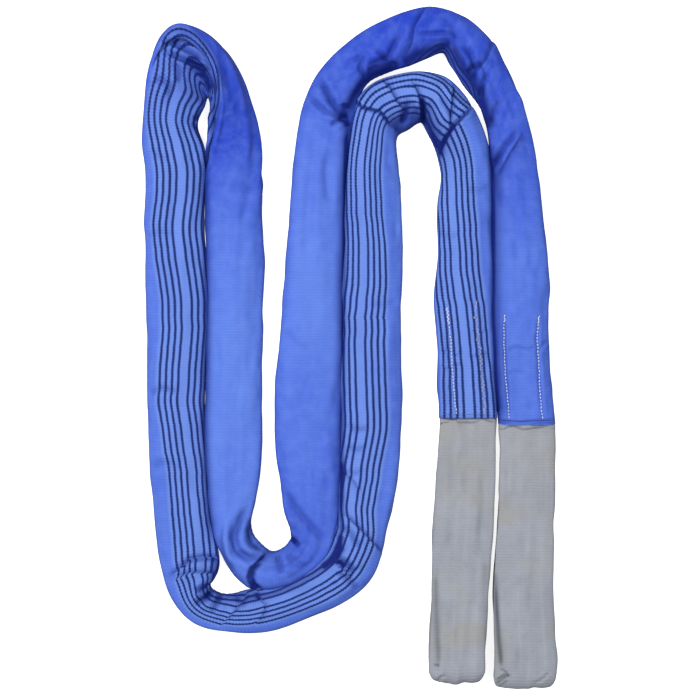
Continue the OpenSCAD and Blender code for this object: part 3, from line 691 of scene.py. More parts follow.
def crease(rings, groups, fine_gain=1.0):
    """Press creases into the upper face. Groups hold first ring, last ring and creases;
    fine_gain deepens the painted shade of creases under 2 mm wide. Also returns the painted
    shade for the folds, gaps and "shade" lines, and how far the stripes slide."""
    out = rings.copy()
    normals = grid_normals(rings)
    painted_shade = np.zeros(rings.shape[:2])
    slide = np.zeros(rings.shape[:2])
    for first, last, features in groups:
        rows = slice(first, last)
        face = np.clip(normals[rows, :, 2] * 2.5 + 0.6, 0, 1)
        lift = normals[rows] * 0.5 + np.array([0, 0, 0.5])
        for kind, height_mm, width_mm, reach_mm, pairs in features:
            line = np.array(pairs, float).reshape(-1, 2) / 1000
            best, side, share = nearest_on_line(rings[rows, :, :2], line)
            left = side > 0
            taper = ease(np.clip(np.minimum(share, 1 - share) * 4 + 0.15, 0, 1))
            height, width = height_mm / 1000, width_mm / 1000
            reach = max(reach_mm, 0.001) / 1000
            if kind == "shade":
                painted_shade[rows] += height_mm / 10 * bell(best / width) * np.clip(taper * 3, 0, 1)
                continue
            if kind == "slip":
                fade = ease(np.clip(best / width, 0, 1))
                slide[rows] += np.where(left, np.exp(-best / reach), 0) * height * fade
                continue
            if kind == "valley":
                lips = bell((best - 2.2 * width) / (1.2 * width))
                profile = -bell(best / width) + reach / height * lips
            elif kind == "ridge":
                profile = bell(best / width)
            else:
                signed = best * side
                raised = np.where(left, np.exp(-signed / reach), 0)
                edge = 1 / (1 + np.exp(-np.clip(signed / (width * 0.35), -30, 30)))
                dip = 0.45 * bell(np.minimum(signed, 0) / width) * (1 - edge)
                profile = np.where(best < 5 * reach + 2 * width, raised * edge - dip, 0)
            out[rows] += lift * (height * profile * taper * face)[..., None]
            if kind != "ridge":
                spread = best if kind == "valley" else np.where(left, best * 2.2, best * 0.6)
                sharp = min(1.0, max(0.0, (7.5 - width_mm) / 2.5))
                depth = (fine_gain if width_mm < 2 else sharp) * height_mm / 6
                painted_shade[rows] += min(0.85, depth) * bell(spread / (0.9 * width)) * taper * face
            if kind == "step":
                # cloth hidden in the fold moves the stripes sideways
                hidden = np.where(left, np.exp(-best / (2 * reach)), 0)
                slide[rows] += hidden * height * 0.62 * taper
    lowest = np.minimum(rings[:, :, 2], 0.009)
    out[:, :, 2] = np.where(normals[:, :, 2] > 0, np.maximum(out[:, :, 2], lowest),
                            out[:, :, 2])
    return out, np.clip(painted_shade, 0, 1.2), slide


# ---------------------------------------------------------------- meshes
def link_object(name, mesh, material):
    mesh.materials.append(material)
    obj = bpy.data.objects.new(name, mesh)
    bpy.context.scene.collection.objects.link(obj)
    return obj


def grid_mesh(name, rings, distance, material, shift=None, around=CLOTH_AROUND,
              custom=None, painted_sheen_tone=None, painted_shade=None):
    """Tube mesh from rings. UV map "fabric" holds metres along and metres round, 0 at the
    stripe centre."""
    rows, columns = rings.shape[:2]
    mesh = bpy.data.meshes.new(name)
    index = np.arange(rows * columns).reshape(rows, columns)
    turned = np.roll(index, -1, 1)
    quads = np.stack([index[:-1], turned[:-1], turned[1:], index[1:]], -1).reshape(-1, 4)
    mesh.vertices.add(rows * columns)
    mesh.vertices.foreach_set("co", rings.reshape(-1).astype(np.float32))
    mesh.loops.add(quads.size)
    mesh.loops.foreach_set("vertex_index", quads.reshape(-1).astype(np.int32))
    mesh.polygons.add(len(quads))
    mesh.polygons.foreach_set("loop_start", np.arange(0, quads.size, 4, dtype=np.int32))
    mesh.update(calc_edges=True)
    uv_map = mesh.uv_layers.new(name="fabric")
    column = np.arange(columns)
    near_c = (column / columns - 0.25) * around
    far_c = ((column + 1) / columns - 0.25) * around
    if shift is None:
        shift = np.zeros((rows, columns))
    near, far = near_c + shift, far_c + np.roll(shift, -1, 1)
    along = distance[:, None] + 0 * near_c
    corners = ((along[:-1], near[:-1]), (along[:-1], far[:-1]),
               (along[1:], far[1:]), (along[1:], near[1:]))
    uvs = np.stack([np.stack(corner, -1) for corner in corners], 2)
    uv_map.data.foreach_set("uv", uvs.reshape(-1).astype(np.float32))
    mesh.polygons.foreach_set("use_smooth", np.ones(len(quads), bool))
    # per-ring painted sheen and shade value
    if painted_sheen_tone is not None:
        values = np.repeat(painted_sheen_tone[:, None], columns, 1).reshape(-1).astype(np.float32)
        mesh.attributes.new("painted_sheen_tone", "FLOAT", "POINT").data.foreach_set("value", values)
    # per-point painted shade
    if painted_shade is not None:
        values = painted_shade.reshape(-1).astype(np.float32)
        mesh.attributes.new("painted_shade", "FLOAT", "POINT").data.foreach_set("value", values)
    mesh.update()
    mesh.validate()
    if custom is not None:
        mesh.normals_split_custom_set_from_vertices(custom.reshape(-1, 3).tolist())
    return link_object(name, mesh, material)


# ---------------------------------------------------------------- materials
class Nodes:
    """A material with one Principled shader and short calls that add nodes."""

    def __init__(self, name):
        self.material = bpy.data.materials.new(name)
        self.material.use_nodes = True
        self.tree = self.material.node_tree
        self.tree.nodes.clear()
        self.out = self.add("OutputMaterial")
        self.shader = self.add("BsdfPrincipled")
        self.link(self.shader.outputs[0], self.out.inputs[0])

    def add(self, kind):
        return self.tree.nodes.new("ShaderNode" + kind)

    def link(self, source, target):
        self.tree.links.new(source, target)

    def put(self, socket, value):
        if isinstance(value, bpy.types.NodeSocket):
            self.link(value, socket)
        else:
            socket.default_value = value

    def math(self, operation, *values, clamp=False):
        node = self.add("Math")
        node.operation = operation
        node.use_clamp = clamp
        for i, value in enumerate(values):
            self.put(node.inputs[i], value)
        return node.outputs[0]

    def plus(self, a, b, clamp=False):
        return self.math("ADD", a, b, clamp=clamp)

    def minus(self, a, b):
        return self.math("SUBTRACT", a, b)

    def times(self, a, b, clamp=False):
        return self.math("MULTIPLY", a, b, clamp=clamp)

    def scaled(self, value, gain, offset):
        return self.math("MULTIPLY_ADD", value, gain, offset)

    def centred(self, value, gain):
        """A 0 to 1 value moved to swing about 0."""
        return self.times(self.minus(value, 0.5), gain)

    def use_cloth(self):
        """Keep the cloth coordinates: metres along and metres round."""
        node = self.add("UVMap")
        node.uv_map = "fabric"
        split = self.add("SeparateXYZ")
        self.link(node.outputs[0], split.inputs[0])
        self.along, self.round = split.outputs[0], split.outputs[1]

    def attribute(self, name):
        node = self.add("Attribute")
        node.attribute_name = name
        return node.outputs["Fac"]

    def position(self):
        return self.add("TexCoord").outputs["Object"]

    def vector(self, x, y, z=0.0):
        node = self.add("CombineXYZ")
        for i, value in enumerate((x, y, z)):
            self.put(node.inputs[i], value)
        return node.outputs[0]

    def noise(self, vector, scale=1.0, detail=2.0, roughness=0.5, distortion=0.0):
        node = self.add("TexNoise")
        self.put(node.inputs["Vector"], vector)
        node.inputs["Scale"].default_value = scale
        node.inputs["Detail"].default_value = detail
        node.inputs["Roughness"].default_value = roughness
        node.inputs["Distortion"].default_value = distortion
        return node.outputs[0]

    def cloth_noise(self, along, around, depth=0.0, **settings):
        """Noise with its own frequency along and round the cloth."""
        place = self.vector(self.times(self.along, along), self.times(self.round, around),
                            depth)
        return self.noise(place, **settings)

    def mix(self, factor, first, second):
        """Blend of two colours, each a socket or an RGB tuple."""
        node = self.add("Mix")
        node.data_type = "RGBA"
        self.put(node.inputs["Factor"], factor)
        for i, colour in ((6, first), (7, second)):
            self.put(node.inputs[i], (*colour, 1) if isinstance(colour, tuple) else colour)
        return node.outputs[2]

    def tint(self, base, amount, strength, colour, clamp=False):
        return self.mix(self.times(amount, strength, clamp=clamp), base, colour)

    def ramp(self, value, low, high):
        """Smooth step of value from low to high."""
        node = self.add("MapRange")
        node.interpolation_type = "SMOOTHSTEP"
        self.put(node.inputs["Value"], value)
        node.inputs["From Min"].default_value = low
        node.inputs["From Max"].default_value = high
        return node.outputs[0]

    def below(self, value, low, high):
        return self.minus(1.0, self.ramp(value, low, high))

    def flank(self, low, high):
        """1 where the surface stands upright, 0 where it lies flat."""
        geometry = self.add("NewGeometry")
        split = self.add("SeparateXYZ")
        self.link(geometry.outputs["Normal"], split.inputs[0])
        return self.below(self.math("ABSOLUTE", split.outputs[2]), low, high)

    def ribs(self, rib, fine):
        """Weft ribs across the cloth and fine ends along it: height, rib and fine weave."""
        wobble = self.times(self.cloth_noise(along=25.0, around=60.0), rib * 0.55)
        phase = self.times(self.plus(self.along, wobble), 2 * PI / rib)
        weft = self.scaled(self.math("SINE", phase), gain=0.5, offset=0.5)
        fine_along = self.times(self.plus(self.along, wobble), 2 * PI / fine)
        fine_round = self.times(self.round, 2 * PI / (fine * 0.9))
        weave = self.times(self.math("SINE", fine_along), self.math("SINE", fine_round))
        strength = self.cloth_noise(along=14.0, around=20.0)
        height = self.plus(self.times(weft, self.ramp(strength, low=0.25, high=0.7)),
                           self.times(weave, 0.22))
        return height, weft, weave

    def bump(self, height, distance):
        node = self.add("Bump")
        node.inputs["Strength"].default_value = 1.0
        node.inputs["Distance"].default_value = distance
        self.put(node.inputs["Height"], height)
        return node.outputs[0]

    def finish(self, colour, roughness, normal, sheen, sheen_tint=(1, 1, 1), specular=0.3):
        self.put(self.shader.inputs["Base Color"], colour)
        self.put(self.shader.inputs["Roughness"], roughness)
        self.shader.inputs["Specular IOR Level"].default_value = specular
        self.shader.inputs["Sheen Weight"].default_value = sheen
        self.shader.inputs["Sheen Roughness"].default_value = 0.5
        self.shader.inputs["Sheen Tint"].default_value = (*sheen_tint, 1)
        self.put(self.shader.inputs["Normal"], normal)
        return self.material


def cover_material():
    n = Nodes("blue_cover_cloth")
    n.use_cloth()
    # distance from the stripe centre, with a little wander along the run
    wander = n.centred(n.noise(n.vector(n.times(n.along, 30.0), 0.0), detail=3.0),
                       gain=0.0036)
    wrapped = n.math("WRAP", n.plus(n.round, wander), CLOTH_AROUND / 2, -CLOTH_AROUND / 2)
    from_centre = n.math("ABSOLUTE", wrapped)
    # four dark lines each side of the centre
    first_line, line_pitch = 0.0078, 0.0094
    to_line = None
    for i in range(4):
        gap = n.math("ABSOLUTE", n.minus(from_centre, first_line + line_pitch * i))
        to_line = gap if to_line is None else n.math("MINIMUM", to_line, gap)
    twist = n.times(n.math("SINE", n.times(n.along, 2 * PI / RIB_PITCH)), 0.00035)
    grain = n.centred(n.cloth_noise(along=420.0, around=500.0), gain=0.0014)
    line = n.below(n.plus(n.plus(to_line, twist), grain), low=0.0013, high=0.0026)
    # cloth between the lines is a little paler than the plain face
    zone = n.below(from_centre, low=0.0385, high=0.0455)
    broad = n.cloth_noise(along=7.0, around=16.0, depth=3.0, detail=3.0, roughness=0.6)
    medium = n.cloth_noise(along=60.0, around=45.0, depth=9.0, detail=3.0, roughness=0.6)
    height, rib, weave = n.ribs(rib=RIB_PITCH, fine=0.0016)
    # painted sheen and shade per station, with random variation
    painted_sheen_tone = n.plus(n.attribute("painted_sheen_tone"), n.centred(broad, gain=0.5), clamp=True)
    # the plain band beside the stripes is the deepest blue
    beside = n.scaled(n.ramp(from_centre, low=0.052, high=0.078), gain=0.26, offset=0.74)
    plain = n.mix(n.times(painted_sheen_tone, beside), (0.010, 0.040, 0.52), (0.120, 0.232, 0.77))
    pale = n.mix(painted_sheen_tone, (0.048, 0.100, 0.50), (0.150, 0.268, 0.75))
    base = n.mix(zone, plain, pale)
    base = n.tint(base, amount=n.ramp(medium, low=0.35, high=0.75), strength=0.22,
                  colour=(0.19, 0.30, 0.86))
    base = n.tint(base, amount=n.minus(1.0, rib), strength=0.15, colour=(0.045, 0.095, 0.52))
    # painted shade on the upright flanks, darker than the crown
    base = n.tint(base, amount=n.flank(low=0.10, high=0.80), strength=0.42,
                  colour=(0.020, 0.060, 0.50))
    dark = n.mix(n.ramp(weave, low=-0.8, high=0.9), (0.004, 0.012, 0.11),
                 (0.013, 0.034, 0.22))
    colour = n.tint(base, amount=line, strength=0.97, colour=dark)
    # painted shade in the creases, folds and gaps between runs
    colour = n.tint(colour, amount=n.attribute("painted_shade"), strength=0.84,
                    colour=(0.004, 0.014, 0.17), clamp=True)
    relief = n.plus(n.times(height, n.scaled(painted_sheen_tone, gain=0.75, offset=0.25)),
                    n.times(line, 0.5))
    normal = n.bump(relief, distance=0.00035)
    return n.finish(colour, n.scaled(medium, gain=0.2, offset=0.5), normal, sheen=0.05,
                    sheen_tint=(0.4, 0.55, 1.0), specular=0.12)


def sleeve_material():
    n = Nodes("grey_sleeve_cloth")
    n.use_cloth()
    position = n.position()
    broad = n.noise(position, scale=9.0, detail=3.0, roughness=0.6)
    medium = n.noise(position, scale=60.0, detail=4.0, roughness=0.65)
    fleck = n.noise(position, scale=420.0, roughness=0.6)
    height, rib, _ = n.ribs(rib=0.0047, fine=0.0017)
    streak = n.cloth_noise(along=3.0, around=95.0)
    base = n.mix(n.ramp(broad, low=0.3, high=0.7), (0.295, 0.315, 0.370),
                 (0.365, 0.385, 0.445))
    base = n.tint(base, amount=n.ramp(streak, low=0.45, high=0.75), strength=0.35,
                  colour=(0.44, 0.46, 0.51))
    base = n.tint(base, amount=n.ramp(medium, low=0.45, high=0.8), strength=0.28,
                  colour=(0.22, 0.225, 0.235))
    base = n.tint(base, amount=n.minus(1.0, rib), strength=0.20, colour=(0.20, 0.215, 0.26))
    # dusty yellow-brown wear
    wear = n.noise(position, scale=13.0, detail=3.0, roughness=0.55, distortion=0.4)
    base = n.tint(base, amount=n.ramp(wear, low=0.47, high=0.74), strength=0.50,
                  colour=(0.33, 0.31, 0.235))
    # greyer and browner near the hem, bluer towards the tip
    split = n.add("SeparateXYZ")
    n.link(position, split.inputs[0])
    base = n.tint(base, amount=n.ramp(split.outputs[1], low=-0.34, high=-0.15),
                  strength=0.30, colour=(0.325, 0.325, 0.315))
    base = n.tint(base, amount=n.ramp(fleck, low=0.62, high=0.8), strength=0.25,
                  colour=(0.55, 0.56, 0.60))
    # painted shade on the upright flanks of the sleeve
    base = n.tint(base, amount=n.flank(low=0.10, high=0.75), strength=0.35,
                  colour=(0.15, 0.16, 0.20))
    # painted shade in the creases and folds of the sleeve
    base = n.tint(base, amount=n.attribute("painted_shade"), strength=0.75,
                  colour=(0.060, 0.065, 0.085), clamp=True)
    normal = n.bump(height, distance=0.0004)
    return n.finish(base, n.scaled(medium, gain=0.2, offset=0.65), normal, sheen=0.2)


def thread_material(name, dark, light):
    n = Nodes(name)
    position = n.position()
    mottle = n.noise(position, scale=900.0, detail=3.0, roughness=0.6)
    colour = n.mix(n.ramp(mottle, low=0.3, high=0.7), dark, light)
    normal = n.bump(n.noise(position, scale=2500.0), distance=0.0003)
    return n.finish(colour, 0.6, normal, sheen=0.2)


def yarn_material():
    n = Nodes("hank_yarn_fibre")
    n.use_cloth()
    fibre = n.cloth_noise(along=20.0, around=900.0, detail=3.0)
    colour = n.mix(n.ramp(fibre, low=0.3, high=0.7), (0.55, 0.53, 0.46), (0.82, 0.81, 0.75))
    return n.finish(colour, 0.55, n.bump(fibre, distance=0.0008), sheen=0.3)


def floor_material():
    """White where the camera looks, greyer to the light it throws back on the sling."""
    n = Nodes("studio_floor")
    position = n.position()
    colour = n.mix(n.noise(position, scale=3.0), (0.90, 0.90, 0.905), (0.925, 0.925, 0.93))
    normal = n.bump(n.noise(position, scale=60.0), distance=0.0001)
    n.finish(colour, 0.9, normal, sheen=0.0, specular=0.1)
    n.shader.inputs["Emission Color"].default_value = (1, 1, 1, 1)
    n.shader.inputs["Emission Strength"].default_value = 0.88
    dull = n.add("BsdfDiffuse")
    dull.inputs[0].default_value = (0.42, 0.42, 0.43, 1)
    path = n.add("LightPath")
    choose = n.add("MixShader")
    n.link(path.outputs["Is Camera Ray"], choose.inputs[0])
    n.link(dull.outputs[0], choose.inputs[1])
    n.link(n.shader.outputs[0], choose.inputs[2])
    n.link(choose.outputs[0], n.out.inputs[0])
    return n.material


# ---------------------------------------------------------------- build the cover
run, station_at, ring_table = cover_table()
rings = cover_rings(run, ring_table)
rings = settle(rings, SETTLE_ROUNDS)
rings = wavy(rings, run)
shift = np.interp(run, station_at, STRIPE_SHIFT_MM / 1000)
shift = smooth_values(shift, 0.007, run[1] - run[0])
rings, run, shift = refine(rings), upsample(run), upsample(shift)
ring_step = run[1] - run[0]
# painted sheen and shade per ring
painted_sheen = np.interp(run, station_at, PAINTED_SHEEN)

# cloth squeezed on the inside of a bend lies down again
thread_len = np.linalg.norm(np.diff(rings, axis=0, append=rings[-1:]), axis=2)
thread_len[-1] = thread_len[-2]
thread_len = smooth_rows(thread_len, 0.010, ring_step)
mean_len = smooth_rows(thread_len.mean(1, keepdims=True), 0.01, ring_step)
tight = np.clip(mean_len / np.maximum(thread_len, 1e-5) - 1.06, 0, 1.1)
calm = smooth_rows(rings.reshape(len(rings), -1), 0.011, ring_step).reshape(rings.shape)
calm_share = smooth_rows(np.clip(tight * 2.2, 0, 0.85), 0.01, ring_step)[..., None]
rings = rings * (1 - calm_share) + calm * calm_share

crease_groups = [
    (*np.searchsorted(run, station_at[[first, last]]), features)
    for first, last, features in CREASES
]
rings, painted_shade, slide = crease(rings, crease_groups)
rings[:, :, 2] = np.maximum(rings[:, :, 2], 0.0004)
# painted shade on the cloth that turns under on the inside of a bend
painted_shade = np.clip(painted_shade + 0.55 * np.clip(tight, 0, 1) ** 0.8, 0, 1.2)
shift = shift[:, None] + slide
normals = grid_normals(rings)

# The lip of a mouth: distance in from the cloth face and forward of the edge, m, and how far
# each lip ring lies past the edge along the cloth, m.
LIP = ((0.0004, 0.0012), (0.0012, 0.0016), (0.0020, 0.0012), (0.0025, 0.0),
       (0.0026, -0.006), (0.0026, -0.014), (0.0026, -0.022))
LIP_RUN = np.array([0.001, 0.002, 0.003, 0.004, 0.010, 0.018, 0.026])


def add_lip(end, part, custom, distance, *values):
    """Turn the cloth in on itself at one end (0 or -1) of a piece."""
    inward = 1 if end == 0 else -1

    def extend(rows, extra):
        return np.concatenate([extra[::-1], rows] if end == 0 else [rows, extra])

    edge = part[end]
    forward = edge - part[end + inward]
    forward /= np.linalg.norm(forward, axis=1, keepdims=True)
    radial = edge - edge.mean(0)
    radial[:, 2] *= 0.95
    radial_len = np.linalg.norm(radial, axis=1, keepdims=True)
    lip = np.array([edge - radial / radial_len * deep + forward * ahead
                    for deep, ahead in LIP])
    longer = [extend(rows, np.repeat(rows[[end]], len(LIP), 0)) for rows in values]
    return (extend(part, lip), extend(custom, np.zeros_like(lip)),
            extend(distance, distance[end] - inward * LIP_RUN), *longer)


cuts = [0]
for _, station, _, _ in PIECES:
    cuts.append(int(round(float(station_at[station]) / run[-1] * (len(run) - 1))))
cover_mat = cover_material()
cloth = {}
for i, (piece, *_) in enumerate(PIECES):
    rows = slice(cuts[i], cuts[i + 1] + 1)
    part = rings[rows]
    # neighbouring pieces share their normals at the cut; zero leaves a normal as it is
    custom = np.zeros_like(part)
    if i > 0:
        custom[0] = normals[cuts[i]]
    if i < len(PIECES) - 1:
        custom[-1] = normals[cuts[i + 1]]
    layers = (part, custom, run[rows], shift[rows], painted_sheen[rows], painted_shade[rows])
    if i == 0:
        layers = add_lip(0, *layers)
    if i == len(PIECES) - 1:
        layers = add_lip(-1, *layers)
    part, custom, distance, slid, painted_sheen_tone, shade = layers
    cloth[piece] = grid_mesh(f"cover_{piece}_cloth", part, distance, cover_mat, shift=slid,
                             custom=custom, painted_sheen_tone=painted_sheen_tone, painted_shade=shade)


# ---------------------------------------------------------------- yarn inside the cover
def hank(piece, part, distance):
    """Two flat bundles of yarn, one on the other, that follow a stretch of the cover."""
    part = part[::4, ::4]
    middle = part.mean(1, keepdims=True)
    shrink = (0.24, 0.24, 0.20) if piece == "left_bight" else (0.72, 0.72, 0.42)
    core = middle + (part - middle) * np.array(shrink)
    split_z = 0.5 * (core[:, :, 2].min(1) + core[:, :, 2].max(1))[:, None]
    lower, upper = core.copy(), core.copy()
    lower[:, :, 2] = np.minimum(lower[:, :, 2], split_z - 0.0005)
    upper[:, :, 2] = np.maximum(upper[:, :, 2], split_z + 0.0005)
    return [grid_mesh(f"hank_{piece}_leg{leg}", bundle, distance[::4], yarn_mat)
            for leg, bundle in ((1, lower), (2, upper))]


yarn_mat = yarn_material()
hanks = {}
for i, (piece, *_) in enumerate(PIECES):
    rows = slice(cuts[i], cuts[i + 1] + 1)
    hanks[piece] = hank(piece, rings[rows], run[rows])

# ---------------------------------------------------------------- the eyes
# Edges of each sleeve from the hem to the tip: y, left x, right x in mm.
EYE_EDGES_MM = {
    "a": [(-118.3, 199.5, 291.7), (-136.7, 200.6, 290.5), (-157.7, 199.6, 289.2),
          (-206.6, 195.5, 290.2), (-238.1, 194.4, 290.2), (-268.1, 193.2, 288.6),
          (-302.8, 191.3, 287.8), (-351.7, 189.6, 283.2), (-389.5, 188, 278.8),
          (-427.4, 187.7, 276), (-471.5, 184.8, 272.8), (-492, 183.6, 271.6),
          (-523.6, 182.3, 271.6), (-547.2, 183.2, 270.6), (-561.4, 185.3, 268.9)],
    "b": [(-129.3, 293.8, 381.9), (-147.4, 294.6, 381.9), (-187.7, 295.4, 382.3),
          (-244.4, 295.4, 382.3), (-283.9, 293, 381.9), (-318.6, 289.5, 381.6),
          (-358, 285.9, 380.7), (-414.8, 283.9, 379.1), (-452.6, 284.2, 380.1),
          (-490.4, 285.4, 382.6), (-509.4, 286.4, 384.2), (-531.4, 284.2, 383.2),
          (-551.9, 283.1, 380.7), (-567.7, 285.4, 378.5)],
}
# Creases of the upper faces, laid out as in CREASES.
EYE_CREASES = {
    "a": [
        ("shade", 9, 5, 0, [291.7, -118.3, 291.7, -143.5]),
        ("valley", 1.6, 1.3, 0.4, [209.7, -141.1, 225.5, -140.4, 230.2, -145.1, 249.2, -146,
                                   260.2, -144.5, 264.9, -140.4]),
        ("valley", 1.6, 1.3, 0.4, [266.5, -138, 276, -142.7, 285.4, -145.1]),
        ("shade", 3.6, 4.5, 0, [193.2, -386.4, 194.8, -425.8, 196.3, -481, 198.7, -520.4]),
        ("shade", 8, 2, 0, [191.6, -522, 198.7, -523.6]),
        ("shade", 2.5, 4, 0, [271.2, -362.7, 269.7, -425.8, 271.2, -488.9]),
        ("step", 1.6, 3, 9, [198.7, -531.4, 197.1, -488.9, 195.5, -441.6, 194, -402.1,
                             194.8, -362.7]),
        ("valley", 1.4, 3.5, 0, [197.1, -545.6, 195.5, -504.6, 192.4, -457.3, 190.8, -410]),
        ("valley", 1.2, 5, 0.4, [264.9, -220.8, 268.1, -268.1, 263.4, -315.4,
                                 266.5, -362.7]),
        ("valley", 1, 6, 0.3, [217.6, -173.5, 216, -220.8, 220.8, -268.1]),
        ("ridge", 1.2, 8, 0, [249.2, -362.7, 246, -425.8, 250.7, -488.9]),
        ("valley", 1.8, 2.4, 0.6, [192.4, -553.5, 201.9, -542.5, 211.3, -539.3]),
    ],
    "b": [
        ("shade", 9, 5, 0, [291.7, -118.3, 293.3, -148.2]),
        ("valley", 1.9, 1.4, 0.5, [293.3, -150.6, 298.1, -156.9, 309.1, -151.9, 317, -151.1,
                                   332.7, -156.4, 359.6, -153, 373.7, -150.6]),
        ("shade", 7.5, 4, 0, [286.7, -378.5, 288, -425.8, 291, -481, 295.7, -526.7]),
        ("shade", 9, 1.8, 0, [288.6, -551.9, 298.1, -544.1, 307.5, -537.8]),
        ("shade", 8, 1.4, 0, [293.3, -557.5, 301.2, -550.4, 305.9, -547.2]),
        ("shade", 7, 2.2, 0, [294.9, -528.3, 302.8, -533, 309.1, -540.9]),
        ("step", 2.2, 3, 9, [301.2, -533, 297.4, -523.6, 294.9, -488.9, 291, -444.7,
                             289.4, -410, 291.7, -386.4]),
        ("valley", 1.8, 3, 0, [296.5, -529.9, 292.5, -488.9, 289.4, -444.7, 287.8, -402.1]),
        ("valley", 2.6, 1.8, 0.8, [287.8, -548, 294.9, -542.5, 304.4, -536.2]),
        ("valley", 1.2, 6, 0.4, [359.6, -181.4, 364.3, -236.5, 359.6, -299.6]),
        ("ridge", 1.4, 9, 0, [328, -362.7, 334.3, -425.8, 328, -504.6]),
        ("valley", 1, 6, 0.3, [307.5, -189.2, 304.4, -236.5, 310.7, -291.7]),
        ("valley", 1.6, 2.4, 0.6, [372.2, -533, 359.6, -545.6, 346.9, -551.9]),
    ],
}
TIP_PUSH = {"a": 0.0008, "b": -0.0028}     # how far each tip is moved along the eye
WAVE_SEED = {"a": 20, "b": 40}
JOINTS = {joint["name"]: joint for joint in frame["joints"]}


class Eye:
    """Pivots of one eye, its heading from hem to tip, and the hem's place along it."""

    def __init__(self, side):
        self.side = side
        self.mouth, self.tip, self.top = (
            Vector(JOINTS[f"eye_{side}_{turn}"]["pos_m"])
            for turn in ("open", "tip_turn", "top_turn"))
        away = self.tip - self.mouth
        self.heading = Vector((away.x, away.y, 0)).normalized()
        hem = rings[0 if side == "a" else -1].mean(0)[:2].tolist()
        self.hem = (Vector(hem) - self.tip.xy).dot(self.heading.xy)


def eye_path(eye):
    """Loop of the eye in (distance from the tip pivot, height): from the mouth over the top,
    round the tip and back below."""
    low = eye.mouth.z - SLEEVE_T / 2
    high = eye.top.z + SLEEVE_T / 2
    top_at = (eye.top - eye.tip).xy.dot(eye.heading.xy)
    _, box_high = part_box(f"eye_{eye.side}_sleeve_tip")
    centre = (eye.tip.z + box_high.z) / 2
    radius = (box_high.z - eye.tip.z) / 2 - SLEEVE_T / 2
    slope = (math.asin(radius / math.hypot(top_at, centre - high))
             + math.atan2(centre - high, -top_at))
    upper = [(eye.hem - TUCK, high), (top_at - 0.055, high),
             (top_at + 0.05, high + 0.05 * math.tan(slope) * 0.9),
             (-radius * math.sin(slope), centre + radius * math.cos(slope))]
    points = []
    for (x0, z0), (x1, z1) in zip(upper[:-1], upper[1:]):
        count = max(2, int(math.hypot(x1 - x0, z1 - z0) / 0.001))
        points += [(x0 + (x1 - x0) * i / count, z0 + (z1 - z0) * i / count)
                   for i in range(count)]
    for i in range(61):
        angle = PI / 2 + slope - (PI + slope) * i / 60
        points.append((radius * math.cos(angle), centre + radius * math.sin(angle)))
    back = eye.hem - TUCK
    count = int(-back / 0.001)
    points += [(back * i / count, low) for i in range(1, count + 1)]
    return np.array(points)


def eye_grid(eye):
    """Distance along the sleeve, its rings, and its path in (distance, height)."""
    points = eye_path(eye)
    length = arc_length(points)
    count = int(length[-1] / SLEEVE_STEP) + 1
    distance = np.linspace(0, length[-1], count)
    path = smooth_rows(interp_columns(distance, length, points), 0.006, SLEEVE_STEP)
    path[:, 0] += TIP_PUSH[eye.side] * ease(np.clip((path[:, 0] + 0.09) / 0.09, 0, 1))
    tangent = np.gradient(path, axis=0)
    tangent /= np.linalg.norm(tangent, axis=1, keepdims=True)
    edges = np.array(EYE_EDGES_MM[eye.side], float)[::-1] / 1000
    world_y = eye.tip.y + eye.heading.y * path[:, 0]
    left, right = (smooth_values(np.interp(world_y, edges[:, 0], edges[:, column]),
                                 0.012, SLEEVE_STEP) for column in (1, 2))
    lower = np.arange(count) > np.argmax(path[:, 0])
    # squeezed a little where the sleeve enters the blue mouth, narrower round the tip
    inside = ease(np.clip((eye.hem + 0.003 - path[:, 0]) / 0.012, 0, 1))
    bend = np.clip((path[:, 0] + 0.012) / 0.030, 0, 1)
    corner = np.clip((path[:, 0] - 0.002) / 0.0163, 0, 1)
    half = ((right - left) / 2 * (1 - 0.22 * inside) - 0.0015 * bend**2
            - 0.0055 * corner**2 - 0.0015 * lower)
    grid = np.zeros((count, SLEEVE_AROUND, 3))
    for i in range(count):
        thick = SLEEVE_T * (1.0 + 0.03 * math.sin(distance[i] * 40))
        outline = section(half[i], thick / 2, 2.5, 0.0, SLEEVE_AROUND, flat=0.002)
        out = outline[:, 1] - outline[:, 1].max() / 2
        grid[i, :, 0] = (right[i] + left[i]) / 2 + outline[:, 0]
        grid[i, :, 1] = eye.tip.y + eye.heading.y * (path[i, 0] - tangent[i, 1] * out)
        grid[i, :, 2] = path[i, 1] + tangent[i, 0] * out
    return distance, grid, path


def creased_eye(eye):
    """The sleeve with shallow waves over the yarn and its creases, and the painted shade
    in them.
    """
    distance, grid, path = eye_grid(eye)
    along, angle = run_and_angle(distance, SLEEVE_AROUND)
    seed = WAVE_SEED[eye.side]
    waves = (0.0008 * noise2(along, np.cos(angle) * 1.4, seed, 0.03, 0.4)
             + 0.0010 * noise2(along + 9, np.cos(angle) * 1.1 + 5, seed + 1, 0.08, 0.5))
    grid = refine(grid + grid_normals(grid) * waves[..., None])
    distance = upsample(distance)
    tip_ring = int(np.argmin(grid[:, :, 1].mean(1)))
    grid, shade, _ = crease(grid, [(0, tip_ring, EYE_CREASES[eye.side])], fine_gain=3.0)
    path = interp_columns(np.linspace(0, 1, len(distance)), np.linspace(0, 1, len(path)),
                          path)
    return distance, grid, path, shade


